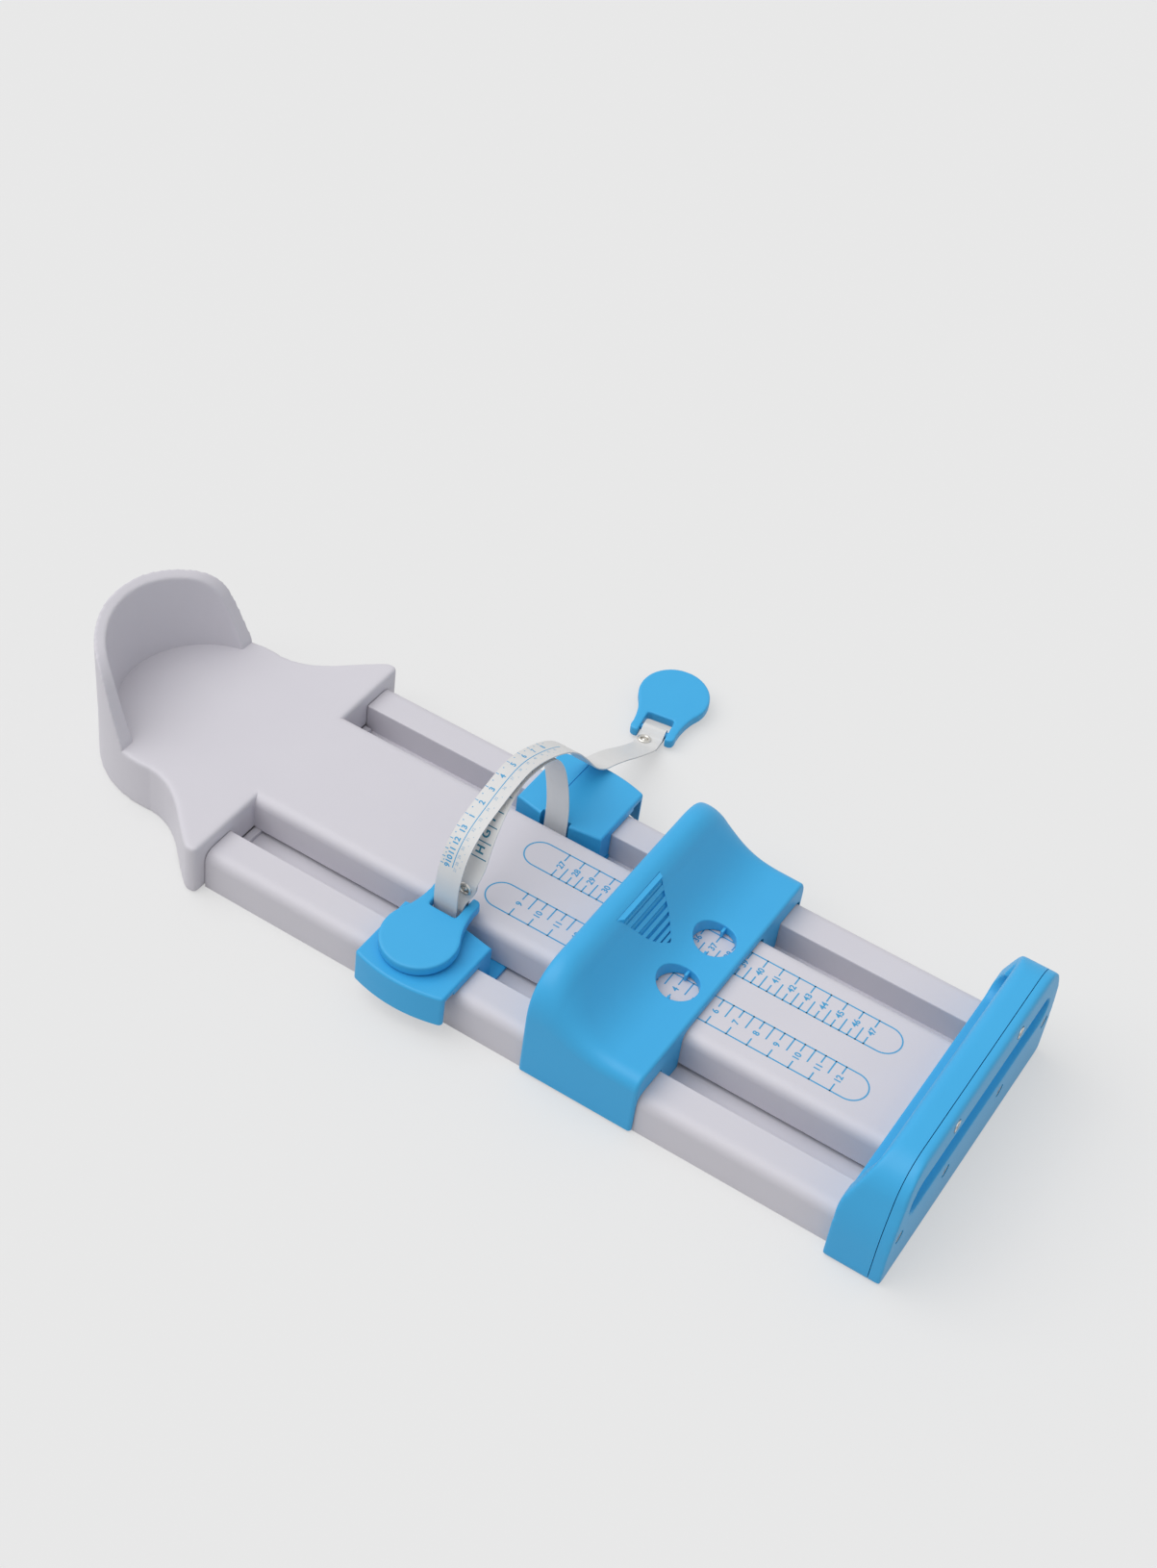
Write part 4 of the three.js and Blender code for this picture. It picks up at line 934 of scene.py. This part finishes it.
near_slider = slider("near_slider_shell", -1, CARRIAGE_X, TAPE_NEAR_X)
far_slider = slider("far_slider_shell", 1, CARRIAGE_X + FAR_SLIDER_SHIFT,
                    TAPE_FAR_X + FAR_NOTCH_SHIFT)
shape_with(far_slider, "DIFFERENCE", block(
    "index_line", (INDEX_X - INDEX_WIDTH / 2, INDEX_X + INDEX_WIDTH / 2), (30, 80),
    (SLIDER_TOP - INDEX_DEPTH, SLIDER_TOP + 1)))
for half, node in ((near_slider, "near_slider"), (far_slider, "far_slider")):
    smooth(half)
    dress(half, blue_satin, "width_carriage", "blue_plastic", node)
carry(blue_satin, "carriage_crossbar")
carry(bright_steel, *[f"crossbar_screw_{i}" for i in range(1, 5)])


# ---- Measuring tape -----------------------------------------------------------------------
# One white coated-fabric band: it starts at the near grip, arches over the foot, passes down the
# far notch and back under the plate, comes up through the near grip, arches over again and ends
# at the far grip. Both ends are folded round a bar and riveted.
TAPE_WIDTH = 10.0
TAPE_THICKNESS = 0.5
FOLD_RADIUS = 1.9
LAP = 0.85
LAP_SLOPE = 0.2
LAP_Y = -29.1
NEAR_BAR = Vector((TAPE_NEAR_X + 0.6, -30.2, 27.35))
FAR_BAR = Vector((CARRIAGE_X - 1.5, 118.6, 3.7))
FAR_YAW = math.radians(9)
YAW_FROM = 75
YAW_RUN = 29
NEAR_LAP_X = NEAR_BAR.x + 0.5
NEAR_RIVET_X = NEAR_LAP_X + 3.6
RIVET_HOLE = 1.8
OUTER_RUN = [
    (-32.9, 8.3), (-33.7, 10.6), (-33.9, 15), (-33.9, 22), (-34.3, 27), (-34.8, 36), (-33.5, 45),
    (-29.5, 54), (-23, 59.5), (-12.5, 63.4), (-3, 66), (6, 67.3), (13, 66.5), (24, 62.5),
    (36, 56), (45.5, 48.3), (54, 38.5)]


def far_local(inward, height, sideways=0.0):
    """A point of the far lap, measured in from the far grip's bar."""
    return (FAR_BAR.x + inward * math.sin(FAR_YAW) + sideways * math.cos(FAR_YAW),
            FAR_BAR.y - inward * math.cos(FAR_YAW) + sideways * math.sin(FAR_YAW),
            FAR_BAR.z + height)


def lap_height(inward):
    """How high the lower ply of the far lap lies over the bar."""
    return -1.4 + LAP_SLOPE * (inward - 4)


def tape_points():
    """The points that the middle of the tape passes through, in millimetres."""
    points = [(NEAR_LAP_X + 3.2, LAP_Y + LAP / 2, 40.2), (NEAR_LAP_X + 2.9, LAP_Y + LAP / 2, 37),
              (NEAR_LAP_X + 1.6, LAP_Y + LAP / 2, 33.3), (NEAR_LAP_X + 0.4, LAP_Y + 0.6, 30.8)]
    for angle in map(math.radians, (370, 325, 270, 215, 170)):
        points.append((NEAR_LAP_X, NEAR_BAR.y + FOLD_RADIUS * math.cos(angle),
                       NEAR_BAR.z + FOLD_RADIUS * math.sin(angle)))
    points += [(NEAR_LAP_X + 0.4, LAP_Y - 1.7, 30.8), (NEAR_LAP_X + 1.6, LAP_Y - LAP / 2, 33.3),
               (NEAR_LAP_X + 2.9, LAP_Y - LAP / 2, 37), (NEAR_LAP_X + 3.3, LAP_Y - LAP / 2, 40.6)]
    for x, y, z in (
            (2.2, -26.1, 46.2), (1.4, -21.3, 52.9), (0.26, -14.9, 58.6), (-1.3, -6, 62.5),
            (-2.6, 4, 64.5), (-2.7, 13.4, 64), (-3, 22.5, 61.1), (-3.1, 30, 56.4),
            (-2.1, 34.2, 49.2), (-0.3, 35.4, 40), (1.8, 34.6, 30), (2.55, 33.8, 22),
            (2.65, 33.4, 15), (2.65, 33.2, 10.5),
            (2.55, 32.4, 8.2), (2.35, 30.2, 7.25), (1.95, 26, 7.2), (-0.1, 0, 7.2),
            (-2.25, -26, 7.2), (-2.65, -30.6, 7.25),
            *((-2.85, y, z) for y, z in OUTER_RUN), (-2, 61.5, 28.9),
            (-0.8, 66.5, 25.3), (0.3, 73, 23.5), (1, 81, 20), (1.2, 90, 14.8), (0.9, 99.5, 9.2)):
        points.append((CARRIAGE_X + x, y, z))
    points += [far_local(inward, lap_height(inward) + LAP) for inward in (11, 7.5, 4)]
    points.append(far_local(2.3, 0.6))
    for angle in map(math.radians, (100, 50, 0, -50, -100)):
        points.append(far_local(-FOLD_RADIUS * math.cos(angle), FOLD_RADIUS * math.sin(angle)))
    points += [far_local(inward, lap_height(inward)) for inward in (4, 7, 10.3)]
    return [Vector(point) for point in points]


def even_curve(points, steps):
    """Places and directions along a smooth curve through points, closest where they crowd."""
    places, ways = [], []
    last = len(points) - 1
    for i in range(last):
        one, two = points[i], points[i + 1]
        zero = points[i - 1] if i else one * 2 - two
        three = points[i + 2] if i + 2 <= last else two * 2 - one
        spans = [max((b - a).length ** 0.5, 1e-4)
                 for a, b in ((zero, one), (one, two), (two, three))]
        leave = (one - zero) / spans[0] - (two - zero) / (spans[0] + spans[1])
        leave = (leave + (two - one) / spans[1]) * spans[1]
        reach = (two - one) / spans[1] - (three - one) / (spans[1] + spans[2])
        reach = (reach + (three - two) / spans[2]) * spans[1]
        curl = (two - one) * -2 + leave + reach
        pull = (two - one) * 3 - leave * 2 - reach
        for step in range(steps + (i == last - 1)):
            t = step / steps
            places.append(one + leave * t + pull * t * t + curl * t * t * t)
            ways.append((leave + pull * 2 * t + curl * 3 * t * t).normalized())
    return places, ways


tape_places, tape_ways = even_curve(tape_points(), 6)
tape_distance = [0.0]
for before, after in zip(tape_places, tape_places[1:]):
    tape_distance.append(tape_distance[-1] + (after - before).length)


def tape_axes(i):
    """Across and up directions of the tape at one of its places."""
    share = min(max((tape_places[i].y - YAW_FROM) / YAW_RUN, 0.0), 1.0)
    yaw = FAR_YAW * share * share * (3 - 2 * share)
    across = Vector((math.cos(yaw), math.sin(yaw), 0))
    return across, tape_ways[i].cross(across).normalized()


tape = sheet("measuring_tape_band", 4, len(tape_places) - 1, lambda row, column: (
    tape_places[row] + tape_axes(row)[0] * TAPE_WIDTH * (column / 4 - 0.5)))
finish_with(tape, "SOLIDIFY", thickness=TAPE_THICKNESS * MM, offset=0.0)
edit(tape)
face_outwards()


def coated(name, low, high):
    """Coated tape fabric: off-white with a very fine weave under the coating."""
    finish = Finish(name)
    place = finish.place()
    cloud = finish.noise(place, 60.0, 3.0)
    weave = finish.noise(place, 1500.0)
    return finish.surface({
        "Base Color": finish.mix(cloud, (*low, 1.0), (*high, 1.0)),
        "Roughness": cloud * 0.1 + 0.42, "Normal": finish.relief(weave, 0.3, 0.00005),
        "Specular IOR Level": 0.4})


tape_white = coated("tape_white", (0.680, 0.680, 0.680), (0.720, 0.722, 0.722))


def eyelet(name, place, turn):
    """A hollow rivet through a hole in the two plies, with a rolled rim and a domed middle."""
    profile = [(0.0, 1.12), (0.5, 1.06), (0.85, 0.90), (1.05, 0.62), (1.15, 0.25), (1.45, 0.25),
               (1.55, 0.80), (1.72, 1.18), (2.0, 1.36), (2.35, 1.38), (2.7, 1.22), (2.92, 0.95),
               (3.0, 0.70)]
    profile += [(radius, -height) for radius, height in reversed(profile)]
    ring = add_named(bpy.ops.mesh.primitive_circle_add, name, vertices=len(profile))
    for vertex, (radius, height) in zip(ring.data.vertices, profile):
        vertex.co = Vector((radius, 0, height)) * MM
    edit(ring)
    bpy.ops.mesh.spin(steps=40, angle=math.tau, center=(0, 0, 0), axis=(0, 0, 1))
    bpy.ops.mesh.select_all(action="SELECT")
    bpy.ops.mesh.remove_doubles(threshold=2e-6)
    face_outwards()
    hole = post("hole", RIVET_HOLE, 5)
    for piece in (ring, hole):
        piece.data.transform(Matrix.Translation(Vector(place) * MM) @ turn)
    shape_with(tape, "DIFFERENCE", hole)
    smooth(ring, 50)
    return ring


near_eyelet = eyelet("near_eyelet", (NEAR_RIVET_X, LAP_Y, 37),
                     Matrix.Rotation(math.pi / 2, 4, "X"))
far_eyelet = eyelet("far_eyelet", far_local(7, lap_height(7) + LAP / 2, -1.8),
                    Matrix.Rotation(FAR_YAW, 4, "Z")
                    @ Matrix.Rotation(-math.atan(LAP_SLOPE), 4, "X"))
smooth(tape, 40)
dress(tape, tape_white, "width_carriage", "tape_plastic", "measuring_tape")
dress(near_eyelet, bright_steel, "width_carriage", "fastener_steel", "near_rivet")
dress(far_eyelet, bright_steel, "width_carriage", "fastener_steel", "far_rivet")


# The band's print: sizes beside a long line on the outer run and width letters on the inner run,
# each at its distance along the band. Everything is laid out flat and then laid on the band.
PRINT_LIFT = 0.04
SIZES = [*range(9, 14), *range(1, 9)]
SIZE_PLACES = [261.7, 264.4, 267.5, 271.6, 276.5, 282.0, 288.5, 295.1, 301.9, 308.9, 316.2,
               323.6, 331.1, 338.6]
SMALL_PLACES = [261.2, 263.8, 266.6, 270.0, 273.6, 277.7, 282.2, 287.1, 292.4, 297.8, 303.0,
                308.1, 313.3, 318.6, 323.9, 329.2, 334.6]
WIDTH_LINES = [44.1, 50.1, 56.3, 62.6, 69.7, 77.2, 84.8, 92.6, 100.6]
WIDTH_LETTERS = "HGFEDCBA"
LINE_RUN = (261.6, 342.0)
LINE_ACROSS = 0.3
SIZE_NUMERAL = 2.25
SMALL_NUMERAL = 1.15
WIDTH_LETTER = 3.3


def on_band(across, along, lift):
    """The place of a point of the flat print on the arched band, on the outside of its arches."""
    i = min(max(bisect.bisect(tape_distance, along) - 1, 0), len(tape_places) - 2)
    share = (along - tape_distance[i]) / (tape_distance[i + 1] - tape_distance[i])
    place = tape_places[i].lerp(tape_places[i + 1], share)
    sideways, up = tape_axes(i)
    next_sideways, next_up = tape_axes(i + 1)
    return (place + sideways.lerp(next_sideways, share) * across
            - up.lerp(next_up, share).normalized() * (TAPE_THICKNESS / 2 + lift))


def lay_on_band(label, across, along):
    """Moves a flat piece of print to its distance along the band and wraps it on."""
    for vertex in label.data.vertices:
        x, y, z = vertex.co / MM
        vertex.co = on_band(across + x, along + y, PRINT_LIFT / 2 + z) * MM
    return label


def band_text(text, height, bold, across, along):
    """A numeral or a letter that reads along the band."""
    label = lettering(text, height, PRINT_LIFT, bold)
    label.data.transform(QUARTER_TURN)
    return lay_on_band(label, across, along)


def band_bar(across, along, width, length, rows=1):
    """A printed bar on the band, cut into rows so that it can follow the curve."""
    bar = sheet("bar", 1, rows, lambda row, column: (
        (column - 0.5) * width, (row / rows - 0.5) * length, 0))
    finish_with(bar, "SOLIDIFY", thickness=PRINT_LIFT * MM, offset=0.0)
    return lay_on_band(bar, across, along)


size_print = [band_bar(LINE_ACROSS, sum(LINE_RUN) / 2, 0.32, LINE_RUN[1] - LINE_RUN[0], 90)]
for size, along, after in zip(SIZES, SIZE_PLACES, SIZE_PLACES[1:]):
    size_print.append(band_text(str(size), SIZE_NUMERAL, 0.1, -2.1, along))
    size_print.append(band_bar(-4.25, along, 1.3, 0.3))
    size_print.append(band_bar(-3.9, (along + after) / 2, 0.42, 0.42))
small_print = []
for size, along in enumerate(SMALL_PLACES, 27):
    small_print.append(band_text(str(size), SMALL_NUMERAL, 0.0, 1.5, along))
    small_print.append(band_bar(3.1, along + 1.7, 0.3, 0.3))
width_print = [band_bar(LINE_ACROSS, along, 7.6, 0.42) for along in WIDTH_LINES]
for letter, low, high in zip(WIDTH_LETTERS, WIDTH_LINES, WIDTH_LINES[1:]):
    width_print.append(band_text(letter, WIDTH_LETTER, 0.12, 0.5, (low + high) / 2))
pale_ink = ink("pale_blue_ink", (0.300, 0.470, 0.640), (0.340, 0.520, 0.680))
teal_ink = ink("teal_ink", (0.030, 0.190, 0.290), (0.040, 0.230, 0.340))
for name, marks, finish in (("tape_size_print", size_print, blue_ink),
                            ("tape_small_print", small_print, pale_ink),
                            ("tape_width_print", width_print, teal_ink)):
    dress(gather(name, marks), finish, "width_carriage", "tape_plastic")


# ---- Grips --------------------------------------------------------------------------------
# Two blue drop-shaped tabs on the ends of the tape, each with a window and a bar that the tape
# is folded round. The near one lies on its slider and the far one lies beside the device.
GRIP_HALF = 9.8
GRIP_PRONG = 4.6
DISC_RADIUS = 15.0
DISC_PLACE = 21.3
GRIP_THICKNESS = 4.6
GRIP_WINDOW = (5.9, 7.2)
BAR_RADIUS = 1.3


def grip(name, bar, tilt, yaw):
    """One tab, drawn outwards from its bar and laid in place."""
    neck = GRIP_HALF - 0.1
    join = math.pi / 6
    join_x = DISC_RADIUS * math.cos(join)
    join_y = DISC_PLACE - DISC_RADIUS * math.sin(join)
    side = [(GRIP_HALF - 2.6, -GRIP_PRONG)]
    side += bend(side[-1], (GRIP_HALF, -GRIP_PRONG), (GRIP_HALF, -GRIP_PRONG + 2.6), 6)
    side.append((neck, 0))
    side += sweep(side[-1], (neck, 3.5), (join_x - 2.2, join_y - 3.8), (join_x, join_y), 14)
    side += arc(0, DISC_PLACE, DISC_RADIUS, -join, math.pi / 2, 24)[1:]
    outline = side + [(-x, y) for x, y in reversed(side[:-1])]
    half = GRIP_THICKNESS / 2
    piece = slab(name, outline, "Z", -half, half)
    wide, deep = GRIP_WINDOW
    window = slab("grip_window", rounded([
        (-wide, -GRIP_PRONG - 1), (wide, -GRIP_PRONG - 1),
        (wide, deep, 0.8), (-wide, deep, 0.8)], 3), "Z", -half - 1, half + 1)
    shape_with(piece, "DIFFERENCE", window)
    cast_soft(piece, grain=0.36, passes=22, share=0.4)
    shape_with(piece, "UNION", post("rod", BAR_RADIUS, 14, turn=ALONG_X))
    turn = Matrix.Rotation(yaw, 4, "Z") @ Matrix.Rotation(tilt, 4, "X")
    piece.data.transform(Matrix.Translation(bar * MM) @ turn)
    smooth(piece)
    return piece


near_grip = grip("near_grip_tab", NEAR_BAR, math.radians(-4.5), math.pi)
far_grip = grip("far_grip_tab", FAR_BAR, math.radians(3.5), FAR_YAW)
dress(near_grip, blue_satin, "near_grip_body", "blue_plastic", "near_grip")
dress(far_grip, blue_satin, "far_grip_body", "blue_plastic", "far_grip")
